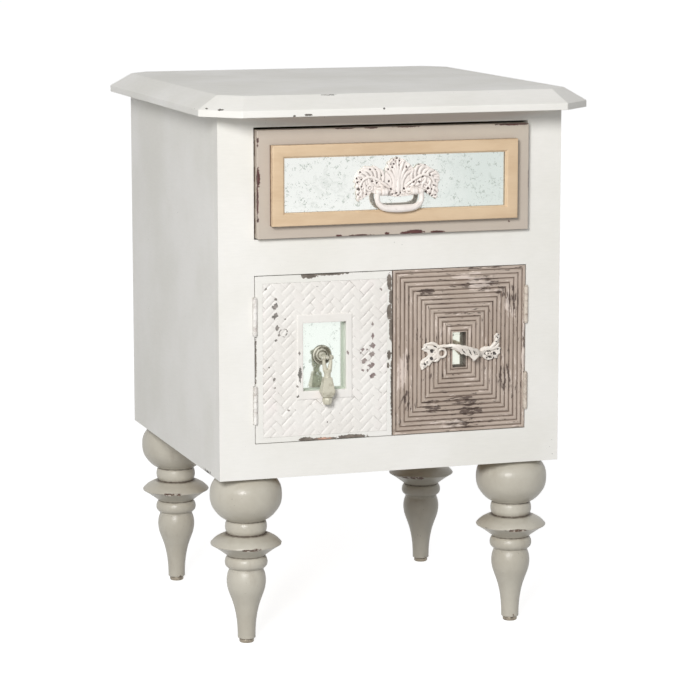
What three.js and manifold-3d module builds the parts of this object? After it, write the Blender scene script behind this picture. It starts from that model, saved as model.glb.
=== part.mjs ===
// Accent chest: a small cabinet on four turned legs, with one drawer over two doors.
// Millimetres, +Z up, the front faces -Y, the origin is on the floor under the middle of the top.

import * as THREE from 'three';
import { mergeVertices } from 'three/addons/utils/BufferGeometryUtils.js';
import Module from 'manifold-3d';

const wasm = await Module();
wasm.setup();

// Clearances
const seam = 0.3; // between pieces that touch
const overrun = 2; // how far a cut runs past a face
const weldDistance = 0.001;
const domeSides = 8;
const domeRings = 6;
const holeSides = 10;

// Case
const caseWidth = 459;
const caseDepth = 445;
const caseHeight = 462.5;
const sideThickness = 18;
const backThickness = 6;
const backRabbet = 9;
const bottomThickness = 15;
const dividerThickness = 12;
const dadoDepth = 6;

// Face frame
const frameThickness = 20;
const stileWidth = 46.5;
const topRailHeight = 16.5;
const drawerOpeningHeight = 140.5;
const middleRailHeight = 45.5;
const bottomRailHeight = 45.2;
const tenonLength = 18;
const tenonThickness = 8;
const tenonShoulder = 4;
const tongueDepth = 6;
const tongueThickness = 6;

// Top
const topEdgeHeight = 8.5;
const topRise = 17;
const topBevelWidth = 27.5;
const topCornerCut = 44;
const frontOverhang = 59;
const sideOverhang = 28.5;
const backOverhang = 44.5;

// Turned legs, each shape as shares of its own largest radius and its own height
const legHeight = 223;
const legInsetX = 47;
const legInsetY = 45.5;
const legSides = 14;
const bunSteps = 8;
const ringSteps = 3;
const discTopSteps = 3;
const discUnderSteps = 2;
const vaseSteps = 6;
const legTenonRadius = 10;
const legTenonLength = 25;
const bunRadius = 46.5;
const bunHeight = 61;
const bunShares = [[0.58, 0], [0.88, 0.148], [1, 0.43], [0.95, 0.68], [0.79, 0.86], [0.563, 1]];
const upperRingRadius = 27;
const upperRingHeight = 17;
const upperRingShares = [[0.87, 0.06], [1, 0.5], [0.89, 1]];
const discRadius = 46;
const discHeight = 29;
const discTopShares = [[0.53, 0.02], [0.75, 0.14], [0.9, 0.29], [1, 0.45]];
const discUnderShares = [[1, 0.51], [0.74, 0.76], [0.55, 1]];
const lowerRingRadius = 27.7;
const lowerRingHeight = 18;
const lowerRingShares = [[0.88, 0.06], [1, 0.5], [0.82, 1]];
const vaseRadius = 25.3;
const vaseShares = [
  [0.89, 0.03], [1, 0.2], [0.885, 0.35], [0.656, 0.53], [0.52, 0.71], [0.466, 0.89], [0.458, 1],
];
const glideRadius = 9.5;
const glideHeight = 5.5;
const glideNailRadius = 1.5;
const glideNailLength = 14;
const glideSides = 12;
const cornerBlockSize = 75;

// Drawer
const drawerSideGap = 2;
const drawerTopGap = 3;
const drawerBottomGap = 1.5;
const drawerProud = 10;
const drawerFrontBack = 12;
const drawerSideThickness = 12;
const drawerTopSpace = 10;
const drawerBackRoom = 20;
const drawerGroove = 6;
const drawerBottomThickness = 5;
const drawerBottomLift = 9.3;
const drawerBackThickness = 12;
const drawerBackInset = 10;
const drawerBackDrop = 5;
const drawerBackDado = 5;
const tailCount = 4;
const tailWideShare = 0.62;
const tailNarrowShare = 0.42;

// Drawer runners and kickers
const guideGap = 1;
const guideHeight = 25;
const runnerWidth = 24;
const runnerStopHeight = 25;

// Gilt moulding and mirror on the drawer
const mouldingWidth = 327;
const mouldingHeight = 101.4;
const mouldingOffsetX = -1.5;
const mouldingOffsetZ = -1;
const mouldingMember = 16.5;
const mouldingThickness = 12;
const mouldingEdge = 9;
const mouldingBevel = 3;
const mouldingKneeShares = [0.35, 0.65]; // how far in and how far forward the outer edge's knee lies
const mouldingLip = 2.5;
const mouldingLipDrop = 2.4;
const mouldingRabbet = 5;
const drawerMirrorThickness = 5;

// Bail pull on the drawer
const plateHalfWidth = 59;
const plateHeight = 57;
const plateLift = 43;
const plateAxisShare = 0.228;
const plateThickness = 6.5;
const plateBevel = 2;
const plateShares = [
  [0, 1], [0.1, 0.965], [0.205, 0.912], [0.27, 0.83], [0.295, 0.735], [0.27, 0.6], [0.32, 0.545],
  [0.375, 0.735], [0.47, 0.82], [0.585, 0.825], [0.7, 0.79], [0.83, 0.72], [0.93, 0.6], [1, 0.475],
  [0.985, 0.36], [0.94, 0.257], [0.93, 0.12], [0.85, 0], [0.77, 0.03], [0.7, 0.125], [0.585, 0.2275],
  [0.47, 0.2], [0.38, 0.13], [0.25, 0.1], [0.12, 0.085], [0, 0.08],
];
const shellRadius = 15;
const shellHeight = 22;
const shellRise = 3.5;
const shellLiftShare = 0.62;
const wingRadius = 17;
const wingHeight = 13;
const wingRise = 2.5;
const wingPlaceShare = 0.72;
const wingLiftShare = 0.5;
const earPlace = 20;
const earWidth = 8;
const earRadius = 5;
const bailPinRadius = 2;
const bailPinEnd = 14.5;
const bailStandOff = 4.9;
const bailHalfWidth = 28.5;
const bailDrop = 22;
const bailArmRadius = 3.5;
const bailGripRadius = 4.6;
const bailWidthShares = [1, 1.03, 0.96, 0.76, 0.42, 0];
const bailDropShares = [0, 0.36, 0.66, 0.88, 0.98, 1];
const bailSteps = 16;
const tubeSides = 8;

// Doors
const doorGap = 1;
const doorMeetingGap = 2.2;
const doorMeetingOffset = 0.6;
const doorThickness = 20;
const doorWindowDepth = 12.5;
const doorMirrorThickness = 3;
const doorMirrorLap = 6;

// Woven field of the left door
const fieldBorderLeft = 10;
const fieldBorderRight = 6.4;
const fieldBorderTop = 9.5;
const fieldBorderBottom = 6.5;
const fieldGap = 0.8;
const fieldThickness = 3.5;
const brickWidth = 9.2;
const brickRelief = 1.2;
const brickSlope = 1.7;
const brickRoot = 0.8;
const leftWindowX = 63;
const leftWindowLiftShare = 0.2984; // of the door's height
const leftWindowWidth = 57.5;
const leftWindowHeightShare = 0.4102;
const marginSide = 7.8;
const marginEnd = 10.8;
const marginProud = 0.5;

// Drop pull of the left door
const rosetteRadius = 12.7;
const rosetteThickness = 2.7;
const rosetteShares = [[1, 0.65], [0.88, 1], [0.72, 0.55], [0.57, 1], [0.44, 0.8], [0.36, 1.6]];
const rosetteBossShare = 1.6;
const rosetteSides = 12;
const dropPostRadius = 2.6;
const dropReach = 22.8;
const dropPinRadius = 1.8;
const dropPinHeadRadius = 2.6;
const dropPinHead = 1.4;
const dropEarInner = 3.2;
const dropEarWidth = 3;
const dropEarRadius = 3.4;
const dropLegLength = 15;
const dropLegDepth = 3;
const collarRadius = 5.6;
const collarHeight = 3.6;
const collarWaistShare = 0.9;
const neckRadius = 4.3;
const neckHeight = 7.6;
const dropBodyTop = 5.9;
const dropBodyWidth = 8.9;
const dropBodyDepthShare = 0.9;
const dropBodyHeight = 17.5;
const dropBodyEnd = 4.2;
const dropBodyTaper = 7.5;
const dropCornerShare = 0.55;
const dropTipRadius = 6.6;
const dropTipHeight = 9;
const dropTipBevel = 2;
const dropTipSides = 8;

// Ridged front of the right door
const rightWindowWidth = 18.7;
const rightWindowHeightShare = 0.2152;
const ridgePitch = 5.75;
const firstGroove = 4;
const firstLandShare = 0.7; // how much of the way to the first groove stays flat
const innerLand = 1.5;
const grooveDepth = 1.9;
const ridgeShares = [[0, 1], [0.2, 0.3], [0.5, 0], [0.8, 0.3]];

// Leaf handle of the right door: outlines and the path of the grip from the middle of the window
const leafSpan = 55;
const leafThickness = 4.5;
const leafBevel = 1.2;
const leftLeafShares = [
  [-0.984, -0.433], [-0.9, -0.35], [-0.8, -0.285], [-0.73, -0.225], [-0.65, -0.21], [-0.55, -0.21],
  [-0.44, -0.2], [-0.36, -0.137], [-0.335, -0.055], [-0.36, 0.03], [-0.4, 0.085], [-0.42, 0.15],
  [-0.49, 0.19], [-0.565, 0.205], [-0.64, 0.17], [-0.71, 0.22], [-0.79, 0.175], [-0.9, 0.19],
  [-0.91, 0.11], [-0.98, 0.065], [-0.89, 0.02], [-0.84, -0.03], [-0.865, -0.1], [-0.965, -0.165],
  [-1.007, -0.26],
];
const rightLeafShares = [
  [0.42, -0.04], [0.53, 0.015], [0.6, 0.07], [0.71, 0.006], [0.77, 0.065], [0.845, 0.14], [0.82, 0.25],
  [0.835, 0.375], [0.9, 0.4], [0.97, 0.37], [1.01, 0.235], [0.985, 0.08], [1.02, 0.005], [0.995, -0.135],
  [0.935, -0.245], [0.755, -0.275], [0.64, -0.235], [0.56, -0.222], [0.44, -0.17],
];
const eyeShares = [-0.465, -0.045];
const eyeRadius = 2.8;
const leafHoleShares = [[-0.71, 0.022], [-0.73, -0.158], [0.853, -0.125]];
const leafHoleRadius = 1.6;
const gripReach = 18;
const gripPathShares = [
  [-0.49, 0.11, 0.2], [-0.39, 0.137, 0.6], [-0.29, 0.125, 0.85], [-0.12, 0.087, 1], [0.058, 0.022, 1],
  [0.23, -0.053, 0.84], [0.36, -0.09, 0.58], [0.49, -0.11, 0.22],
];
const gripHalfHeight = 5.4;
const gripHeightShares = [0.5, 0.55, 0.58, 0.85, 0.95, 1, 0.85, 0.7];
const gripHalfDepth = 2.7;
const gripSteps = 16;
const spurPathShares = [[0.165, -0.04, 0.88], [0.22, -0.13, 0.82], [0.265, -0.235, 0.74]];
const spurRadius = 4.4;
const spurTipRadius = 0.8;
const spurDepthShare = 0.7;
const spurSteps = 4;

// Butt hinges
const hingeLength = 46;
const lowerHingeShare = 0.215; // of the door's edge that the two hinges leave free
const upperHingeShare = 0.23;
const hingeLeaf = 1.7;
const hingeLeafDepth = 16;
const hingeAxisProud = 1.6;
const knuckleCount = 5;
const knuckleRadius = 2.8;
const knuckleSides = 8;
const hingePinRadius = 1.2;
const hingePinHeadRadius = 2.2;
const hingePinHead = 1.2;
const hingePinSides = 6;

// Door stop
const stopWidth = 110;
const stopDrop = 12;
const stopThickness = 12;

// Places worked out from the driving dimensions
const bottomOfDoorOpening = bottomRailHeight;
const topOfCase = caseHeight - seam;
const topOfDrawerOpening = caseHeight - topRailHeight;
const bottomOfDrawerOpening = topOfDrawerOpening - drawerOpeningHeight;
const topOfDoorOpening = bottomOfDrawerOpening - middleRailHeight;
const openingLeft = stileWidth;
const openingRight = caseWidth - stileWidth;
const openingMiddle = (openingLeft + openingRight) / 2;
const behindFrame = frameThickness + seam;
const inFrontOfBack = caseDepth - backThickness - seam;
const dividerTop = bottomOfDrawerOpening - (middleRailHeight - dividerThickness) / 2 + dividerThickness / 2;
const insideLeft = sideThickness + seam;
const insideRight = caseWidth - insideLeft;
const doorBottom = bottomOfDoorOpening + doorGap;
const doorHeight = topOfDoorOpening - doorGap - doorBottom;
const leftWindowZ = doorHeight * leftWindowLiftShare;
const leftWindowHeight = doorHeight * leftWindowHeightShare;
const rightWindowHeight = doorHeight * rightWindowHeightShare;
const freeDoorEdge = doorHeight - 2 * hingeLength;
const lowerHingeLift = freeDoorEdge * lowerHingeShare;
const upperHingeLift = doorHeight - hingeLength - freeDoorEdge * upperHingeShare;
const drawerLength = caseDepth - drawerBackRoom;
const meetingMiddle = openingMiddle + doorMeetingOffset;
const leftDoorX = openingLeft + doorGap;
const leftDoorWidth = meetingMiddle - doorMeetingGap / 2 - leftDoorX;
const rightDoorX = meetingMiddle + doorMeetingGap / 2;
const rightDoorWidth = openingRight - doorGap - rightDoorX;

// Solids

function solidOf(geometry) {
  const bare = geometry.clone();
  bare.deleteAttribute('normal');
  bare.deleteAttribute('uv');
  const merged = mergeVertices(bare, weldDistance);
  return new wasm.Manifold(new wasm.Mesh({
    numProp: 3,
    vertProperties: Float32Array.from(merged.attributes.position.array),
    triVerts: Uint32Array.from(merged.index.array),
  }));
}

function geometryOf(solid) {
  const mesh = solid.getMesh();
  const geometry = new THREE.BufferGeometry();
  geometry.setAttribute('position', new THREE.BufferAttribute(mesh.vertProperties, 3));
  geometry.setIndex(new THREE.BufferAttribute(mesh.triVerts, 1));
  geometry.computeVertexNormals();
  return geometry;
}

function cut(solid, ...tools) {
  return tools.reduce((rest, tool) => rest.subtract(tool), solid);
}

function join(solid, ...others) {
  return others.reduce((whole, other) => whole.add(other), solid);
}

// A box between two opposite corners
function block(low, high) {
  const size = high.map((value, axis) => value - low[axis]);
  const middle = high.map((value, axis) => (value + low[axis]) / 2);
  const geometry = new THREE.BoxGeometry(...size);
  geometry.translate(...middle);
  return solidOf(geometry);
}

// A round rod along 'x', 'y' or 'z' between two places on that axis, centred on a point
function rod(axis, radius, from, to, centre, sides) {
  const geometry = new THREE.CylinderGeometry(radius, radius, to - from, sides);
  const place = [...centre];
  if (axis === 'x') geometry.rotateZ(-Math.PI / 2);
  if (axis === 'z') geometry.rotateX(Math.PI / 2);
  place['xyz'.indexOf(axis)] = (from + to) / 2;
  geometry.translate(...place);
  return solidOf(geometry);
}

// A turned shape round the Z axis from [radius, height] points that run upwards
function turned(points, sides) {
  const outline = points.map(([radius, height]) => new THREE.Vector2(radius, height));
  const geometry = new THREE.LatheGeometry(outline, sides);
  geometry.rotateX(Math.PI / 2);
  return solidOf(geometry);
}

// A skin over rings of equal counts, closed by fans, or joined end to end when loop is true
function loft(rings, loop = false) {
  const count = rings[0].length;
  const index = [];
  const bands = loop ? rings.length : rings.length - 1;
  for (let ring = 0; ring < bands; ring += 1) {
    const next = (ring + 1) % rings.length;
    for (let i = 0; i < count; i += 1) {
      const j = (i + 1) % count;
      index.push(ring * count + i, ring * count + j, next * count + j);
      index.push(ring * count + i, next * count + j, next * count + i);
    }
  }
  if (!loop) {
    const last = (rings.length - 1) * count;
    for (let i = 1; i < count - 1; i += 1) {
      index.push(0, i + 1, i);
      index.push(last, last + i, last + i + 1);
    }
  }
  const geometry = new THREE.BufferGeometry();
  geometry.setAttribute('position', new THREE.Float32BufferAttribute(rings.flat(2), 3));
  geometry.setIndex(index);
  return solidOf(geometry);
}

// A prism along X of an outline in Y and Z
function prism(outline, from, to) {
  const ringAt = (x) => outline.map(([y, z]) => [x, y, z]);
  return loft([ringAt(from), ringAt(to)]);
}

// A tube along a smooth path; halfSizes gives its half height and half depth at a share of the path
function tube(points, steps, halfSizes, reference) {
  const spots = points.map((point) => new THREE.Vector3(...point));
  const path = new THREE.CatmullRomCurve3(spots, false, 'centripetal');
  const rings = [];
  for (let step = 0; step <= steps; step += 1) {
    const share = step / steps;
    const centre = path.getPointAt(share);
    const along = path.getTangentAt(share);
    const first = reference.clone().addScaledVector(along, -reference.dot(along)).normalize();
    const second = along.clone().cross(first);
    const [firstSize, secondSize] = halfSizes(share);
    const ring = [];
    for (let side = 0; side < tubeSides; side += 1) {
      const angle = (side / tubeSides) * 2 * Math.PI;
      const spot = centre.clone();
      spot.addScaledVector(first, Math.cos(angle) * firstSize);
      spot.addScaledVector(second, Math.sin(angle) * secondSize);
      ring.push(spot.toArray());
    }
    rings.push(ring);
  }
  return loft(rings);
}

// A value read from a list of evenly spaced shares, straight between them
function between(shares, share) {
  const place = share * (shares.length - 1);
  const start = Math.min(Math.floor(place), shares.length - 2);
  return shares[start] + (shares[start + 1] - shares[start]) * (place - start);
}

// A flat casting of an outline in X and Z, from its back at the given Y forwards, with bevelled edges
function casting(outline, back, thickness, bevel) {
  const shape = new THREE.Shape(outline.map(([x, z]) => new THREE.Vector2(x, z)));
  const geometry = new THREE.ExtrudeGeometry(shape, {
    depth: thickness - 2 * bevel,
    bevelEnabled: true,
    bevelThickness: bevel,
    bevelSize: bevel,
    bevelOffset: -bevel,
    bevelSegments: 1,
    steps: 1,
  });
  geometry.rotateX(Math.PI / 2);
  geometry.translate(0, back - bevel, 0);
  return solidOf(geometry);
}

// A low dome, an ellipsoid with its middle on a plane of constant Y
function dome(centre, halfWidth, halfHeight, rise) {
  const geometry = new THREE.SphereGeometry(halfWidth, domeSides, domeRings);
  geometry.scale(1, rise / halfWidth, halfHeight / halfWidth);
  geometry.translate(...centre);
  return solidOf(geometry);
}

// A mitred ring round a rectangle; the profile lists insets in X and Z with a place in Y
function rectangularRing(width, height, profile) {
  return loft(profile.map(([insetX, insetZ, y]) => [
    [insetX, y, insetZ],
    [width - insetX, y, insetZ],
    [width - insetX, y, height - insetZ],
    [insetX, y, height - insetZ],
  ]), true);
}

// Materials

function finish(colour, roughness, metalness = 0) {
  return new THREE.MeshStandardMaterial({ color: colour, roughness, metalness });
}

const whitePaint = () => finish(0xefede6, 0.55);
const taupePaint = () => finish(0xb3a496, 0.6);
const greigePaint = () => finish(0xbeb5a8, 0.45);
const giltPaint = () => finish(0xdcbf98, 0.45);
const bareWood = () => finish(0xc9b18b, 0.7);
const mirrorGlass = () => finish(0xdfe6e2, 0.08, 0.9);
const paintedCasting = () => finish(0xe9e0da, 0.5);
const agedMetal = () => finish(0xc4bda6, 0.45, 0.4);
const hingeSteel = () => finish(0x8d8378, 0.5, 0.6);

// Scene graph: the case's lower front left corner carries everything

const chest = new THREE.Group();
const cabinet = new THREE.Group();
const topDepth = caseDepth + frontOverhang + backOverhang;
cabinet.position.set(-caseWidth / 2, frontOverhang - topDepth / 2, legHeight);
chest.add(cabinet);

function addPiece(parent, name, shape, material, place = [0, 0, 0]) {
  const geometry = shape instanceof THREE.BufferGeometry ? shape : geometryOf(shape);
  const mesh = new THREE.Mesh(geometry, material);
  mesh.name = name;
  mesh.position.set(...place);
  parent.add(mesh);
  return mesh;
}

// Top panel: eight sides, an upright edge, then a bevel up to the flat field

function octagon(inset, height) {
  const left = -sideOverhang + inset;
  const right = caseWidth + sideOverhang - inset;
  const front = -frontOverhang + inset;
  const back = caseDepth + backOverhang - inset;
  const corner = topCornerCut - inset * (2 - Math.SQRT2);
  return [
    [left + corner, front, height], [right - corner, front, height],
    [right, front + corner, height], [right, back - corner, height],
    [right - corner, back, height], [left + corner, back, height],
    [left, back - corner, height], [left, front + corner, height],
  ];
}

function topPanel() {
  return loft([
    octagon(0, caseHeight),
    octagon(0, caseHeight + topEdgeHeight),
    octagon(topBevelWidth, caseHeight + topEdgeHeight + topRise),
  ]);
}

// Face frame: two stiles, three rails with tenons

const rails = {
  top: [topOfDrawerOpening, topOfCase],
  middle: [topOfDoorOpening, bottomOfDrawerOpening],
  bottom: [0, bottomRailHeight],
};
const tenonFront = (frameThickness - tenonThickness) / 2;

function rail([low, high]) {
  const left = openingLeft + seam;
  const right = openingRight - seam;
  const tenon = block(
    [left - tenonLength, tenonFront, low + tenonShoulder],
    [right + tenonLength, tenonFront + tenonThickness, high - tenonShoulder],
  );
  return join(block([left, 0, low], [right, frameThickness, high]), tenon);
}

const leftHingeAxis = (openingLeft + leftDoorX) / 2;
const hingeLifts = { lower: lowerHingeLift, upper: upperHingeLift };
const hingeRoom = hingePinHead + 2 * seam;

// The room that a hinge needs in a stile or a door whose edge lies at edgeX; side is +1 where wood lies to +X
function hingeGain(axisX, edgeX, side, bottom) {
  const inner = edgeX + side * (hingeLeaf + seam);
  const outer = edgeX - side * overrun;
  const leafRoom = block(
    [Math.min(inner, outer), -overrun, bottom - seam],
    [Math.max(inner, outer), hingeLeafDepth - hingeAxisProud + seam, bottom + hingeLength + seam],
  );
  const barrelRoom = rod(
    'z', knuckleRadius + seam, bottom - hingeRoom, bottom + hingeLength + hingeRoom,
    [axisX, -hingeAxisProud, 0], knuckleSides,
  );
  return [leafRoom, barrelRoom];
}

function leftStile() {
  const mortises = Object.values(rails).map(([low, high]) => block(
    [stileWidth - tenonLength - seam, tenonFront - seam, low + tenonShoulder - seam],
    [stileWidth + overrun, tenonFront + tenonThickness + seam, high - tenonShoulder + seam],
  ));
  const groove = block(
    [(sideThickness - tongueThickness) / 2 - seam, frameThickness - tongueDepth - seam, -overrun],
    [(sideThickness + tongueThickness) / 2 + seam, frameThickness + overrun, caseHeight + overrun],
  );
  const gains = Object.values(hingeLifts).flatMap(
    (lift) => hingeGain(leftHingeAxis, openingLeft, -1, doorBottom + lift),
  );
  return cut(block([0, 0, 0], [stileWidth, frameThickness, topOfCase]), ...mortises, groove, ...gains);
}

// Side panel with a tongue into the stile, dadoes for the shelves and a rabbet for the back

function leftSide() {
  const board = block([0, behindFrame, 0], [sideThickness, caseDepth, topOfCase]);
  const tongue = block(
    [(sideThickness - tongueThickness) / 2, frameThickness - tongueDepth, 0],
    [(sideThickness + tongueThickness) / 2, behindFrame + seam, topOfCase],
  );
  const dado = (top, thickness) => block(
    [sideThickness - dadoDepth, behindFrame - overrun, top - thickness - seam],
    [sideThickness + overrun, caseDepth + overrun, top + seam],
  );
  const rabbet = block(
    [sideThickness - backRabbet, inFrontOfBack, -overrun],
    [sideThickness + overrun, caseDepth + overrun, caseHeight + overrun],
  );
  const dadoes = [dado(bottomRailHeight, bottomThickness), dado(dividerTop, dividerThickness)];
  const panel = cut(board, ...dadoes, rabbet);
  return join(panel, tongue);
}

function shelf(top, thickness) {
  const inset = sideThickness - dadoDepth + seam;
  return block([inset, behindFrame, top - thickness], [caseWidth - inset, inFrontOfBack, top]);
}

function backPanel() {
  const inset = sideThickness - backRabbet + seam;
  return block([inset, inFrontOfBack + seam, 0], [caseWidth - inset, caseDepth, topOfCase]);
}

// Drawer places

const drawerX = openingLeft + drawerSideGap;
const drawerZ = bottomOfDrawerOpening + drawerBottomGap;
const drawerWidth = openingRight - openingLeft - 2 * drawerSideGap;
const drawerFrontHeight = drawerOpeningHeight - drawerTopGap - drawerBottomGap;
const drawerSideBottom = seam - drawerBottomGap;
const drawerSideTop = drawerFrontHeight + drawerTopGap - drawerTopSpace;
const drawerSideHeight = drawerSideTop - drawerSideBottom;

// Runner: a guide beside the drawer, a ledge under its side and a stop at the back

function leftRunner() {
  const guideFace = drawerX - guideGap;
  const ledgeEnd = guideFace + runnerWidth;
  const low = dividerTop + seam;
  const guide = block([insideLeft, behindFrame, low], [guideFace, inFrontOfBack, low + guideHeight]);
  const ledge = block([insideLeft, behindFrame, low], [ledgeEnd, inFrontOfBack, bottomOfDrawerOpening]);
  const stop = block(
    [insideLeft, drawerLength + seam, low],
    [ledgeEnd, inFrontOfBack, bottomOfDrawerOpening + runnerStopHeight],
  );
  return join(guide, ledge, stop);
}

function leftKicker() {
  return block(
    [insideLeft, behindFrame, topOfDrawerOpening],
    [drawerX - guideGap + runnerWidth, inFrontOfBack, topOfCase],
  );
}

// Corner block: holds the tenon of a leg

function cornerBlock(frontY, legY) {
  const top = bottomRailHeight - bottomThickness - seam;
  const holeTop = legTenonLength + seam;
  const hole = rod('z', legTenonRadius + seam, -overrun, holeTop, [legInsetX, legY, 0], legSides);
  const body = block(
    [insideLeft, frontY, 0],
    [insideLeft + cornerBlockSize, frontY + cornerBlockSize, top],
  );
  return cut(body, hole);
}

// Turned leg: a bun, a ring, a sharp-edged disc, a second ring and a vase that tapers to the foot

function smooth(shares, radius, height, top, count) {
  const spots = shares.map(([wide, down]) => new THREE.Vector2(wide * radius, top - down * height));
  const curve = new THREE.SplineCurve(spots);
  return curve.getPoints(count).map((point) => [point.x, point.y]);
}

function turnedLeg() {
  const upperRingTop = -bunHeight;
  const discTop = upperRingTop - upperRingHeight;
  const lowerRingTop = discTop - discHeight;
  const vaseTop = lowerRingTop - lowerRingHeight;
  const foot = glideHeight + seam - legHeight;
  const bun = smooth(bunShares, bunRadius, bunHeight - seam, -seam, bunSteps);
  const profile = [
    [0, legTenonLength],
    [legTenonRadius, legTenonLength],
    [legTenonRadius, -seam],
    ...bun,
    ...smooth(upperRingShares, upperRingRadius, upperRingHeight, upperRingTop, ringSteps),
    ...smooth(discTopShares, discRadius, discHeight, discTop, discTopSteps),
    ...smooth(discUnderShares, discRadius, discHeight, discTop, discUnderSteps),
    ...smooth(lowerRingShares, lowerRingRadius, lowerRingHeight, lowerRingTop, ringSteps),
    ...smooth(vaseShares, vaseRadius, vaseTop - foot, vaseTop, vaseSteps),
    [glideNailRadius + seam, foot],
    [glideNailRadius + seam, foot + glideNailLength],
    [0, foot + glideNailLength],
  ];
  return turned(profile.reverse(), legSides);
}

function glide() {
  return turned([
    [0, -legHeight],
    [glideRadius - seam, -legHeight],
    [glideRadius, -legHeight + seam],
    [glideRadius, glideHeight - legHeight],
    [glideNailRadius, glideHeight - legHeight],
    [glideNailRadius, glideHeight - legHeight + glideNailLength - seam],
    [0, glideHeight - legHeight + glideNailLength - seam],
  ], glideSides);
}

// Drawer box: half-blind dovetails at the front corners, a bottom in grooves, a back in dadoes

function tailOutline(number, clearance) {
  const pitch = drawerSideHeight / tailCount;
  const middle = drawerSideBottom + pitch * number + pitch / 2;
  const wide = (pitch * tailWideShare) / 2 + clearance;
  const narrow = (pitch * tailNarrowShare) / 2 + clearance;
  const tip = seam - clearance;
  const shoulder = drawerFrontBack + seam + clearance;
  const root = shoulder + seam;
  return [
    [tip, middle - wide], [shoulder, middle - narrow], [root, middle - narrow],
    [root, middle + narrow], [shoulder, middle + narrow], [tip, middle + wide],
  ];
}

const tails = Array.from({ length: tailCount }, (_, number) => number);
const bottomGrooveLow = drawerBottomLift - seam;
const bottomGrooveHigh = drawerBottomLift + drawerBottomThickness + seam;

function drawerFront() {
  const board = block([0, -drawerProud, 0], [drawerWidth, drawerFrontBack, drawerFrontHeight]);
  const sockets = tails.flatMap((number) => [
    prism(tailOutline(number, seam), -overrun, drawerSideThickness + seam),
    prism(tailOutline(number, seam), drawerWidth - drawerSideThickness - seam, drawerWidth + overrun),
  ]);
  const inset = drawerSideThickness - drawerGroove;
  const groove = block(
    [inset, drawerFrontBack - drawerGroove, bottomGrooveLow],
    [drawerWidth - inset, drawerFrontBack + overrun, bottomGrooveHigh],
  );
  return cut(board, ...sockets, groove);
}

const drawerBackEnd = drawerLength - drawerBackInset;

function drawerSide() {
  const board = block(
    [0, drawerFrontBack + seam, drawerSideBottom],
    [drawerSideThickness, drawerLength, drawerSideTop],
  );
  const pins = tails.map((number) => prism(tailOutline(number, 0), 0, drawerSideThickness));
  const groove = block(
    [drawerSideThickness - drawerGroove, -overrun, bottomGrooveLow],
    [drawerSideThickness + overrun, drawerLength + overrun, bottomGrooveHigh],
  );
  const dado = block(
    [drawerSideThickness - drawerBackDado, drawerBackEnd - drawerBackThickness - seam, bottomGrooveLow],
    [drawerSideThickness + overrun, drawerBackEnd + seam, drawerSideTop + overrun],
  );
  return cut(join(board, ...pins), groove, dado);
}

function drawerBack() {
  const inset = drawerSideThickness - drawerBackDado + seam;
  return block(
    [inset, drawerBackEnd - drawerBackThickness, bottomGrooveHigh],
    [drawerWidth - inset, drawerBackEnd, drawerSideTop - drawerBackDrop],
  );
}

function drawerBottom() {
  const inset = drawerSideThickness - drawerGroove + seam;
  return block(
    [inset, drawerFrontBack - drawerGroove + seam, drawerBottomLift],
    [drawerWidth - inset, drawerBackEnd + drawerBackInset / 2, drawerBottomLift + drawerBottomThickness],
  );
}

// Gilt moulding: one mitred ring, rabbeted behind for the mirror

const mouldingX = (drawerWidth - mouldingWidth) / 2 + mouldingOffsetX;
const mouldingZ = (drawerFrontHeight - mouldingHeight) / 2 + mouldingOffsetZ;
const mouldingBack = -drawerProud - seam;
const mouldingSight = mouldingMember - mouldingRabbet;

function drawerMoulding() {
  const face = -drawerProud - mouldingThickness;
  const edge = -drawerProud - mouldingEdge;
  const rabbet = mouldingBack - drawerMirrorThickness - seam;
  const [kneeIn, kneeForward] = mouldingKneeShares;
  const profile = [
    [0, mouldingBack], [0, edge], [mouldingBevel * kneeIn, edge + (face - edge) * kneeForward],
    [mouldingBevel, face], [mouldingMember - mouldingLip, face], [mouldingMember, face + mouldingLipDrop],
    [mouldingMember, rabbet], [mouldingSight, rabbet], [mouldingSight, mouldingBack],
  ];
  return rectangularRing(mouldingWidth, mouldingHeight, profile.map(([inset, y]) => [inset, inset, y]));
}

function drawerMirror() {
  const inset = mouldingSight + seam;
  return block(
    [inset, mouldingBack - drawerMirrorThickness, inset],
    [mouldingWidth - inset, mouldingBack, mouldingHeight - inset],
  );
}

// Bail pull: a leafy back plate with two ears, and a bail whose pins turn in them.
// Its own place is the middle of the bail's axis.

const plateBack = mouldingBack - drawerMirrorThickness - seam;
const plateFront = plateBack - plateThickness;
const bailY = plateFront - bailStandOff;
const pullX = drawerWidth / 2;
const pullZ = plateLift + plateHeight * plateAxisShare;

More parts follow.
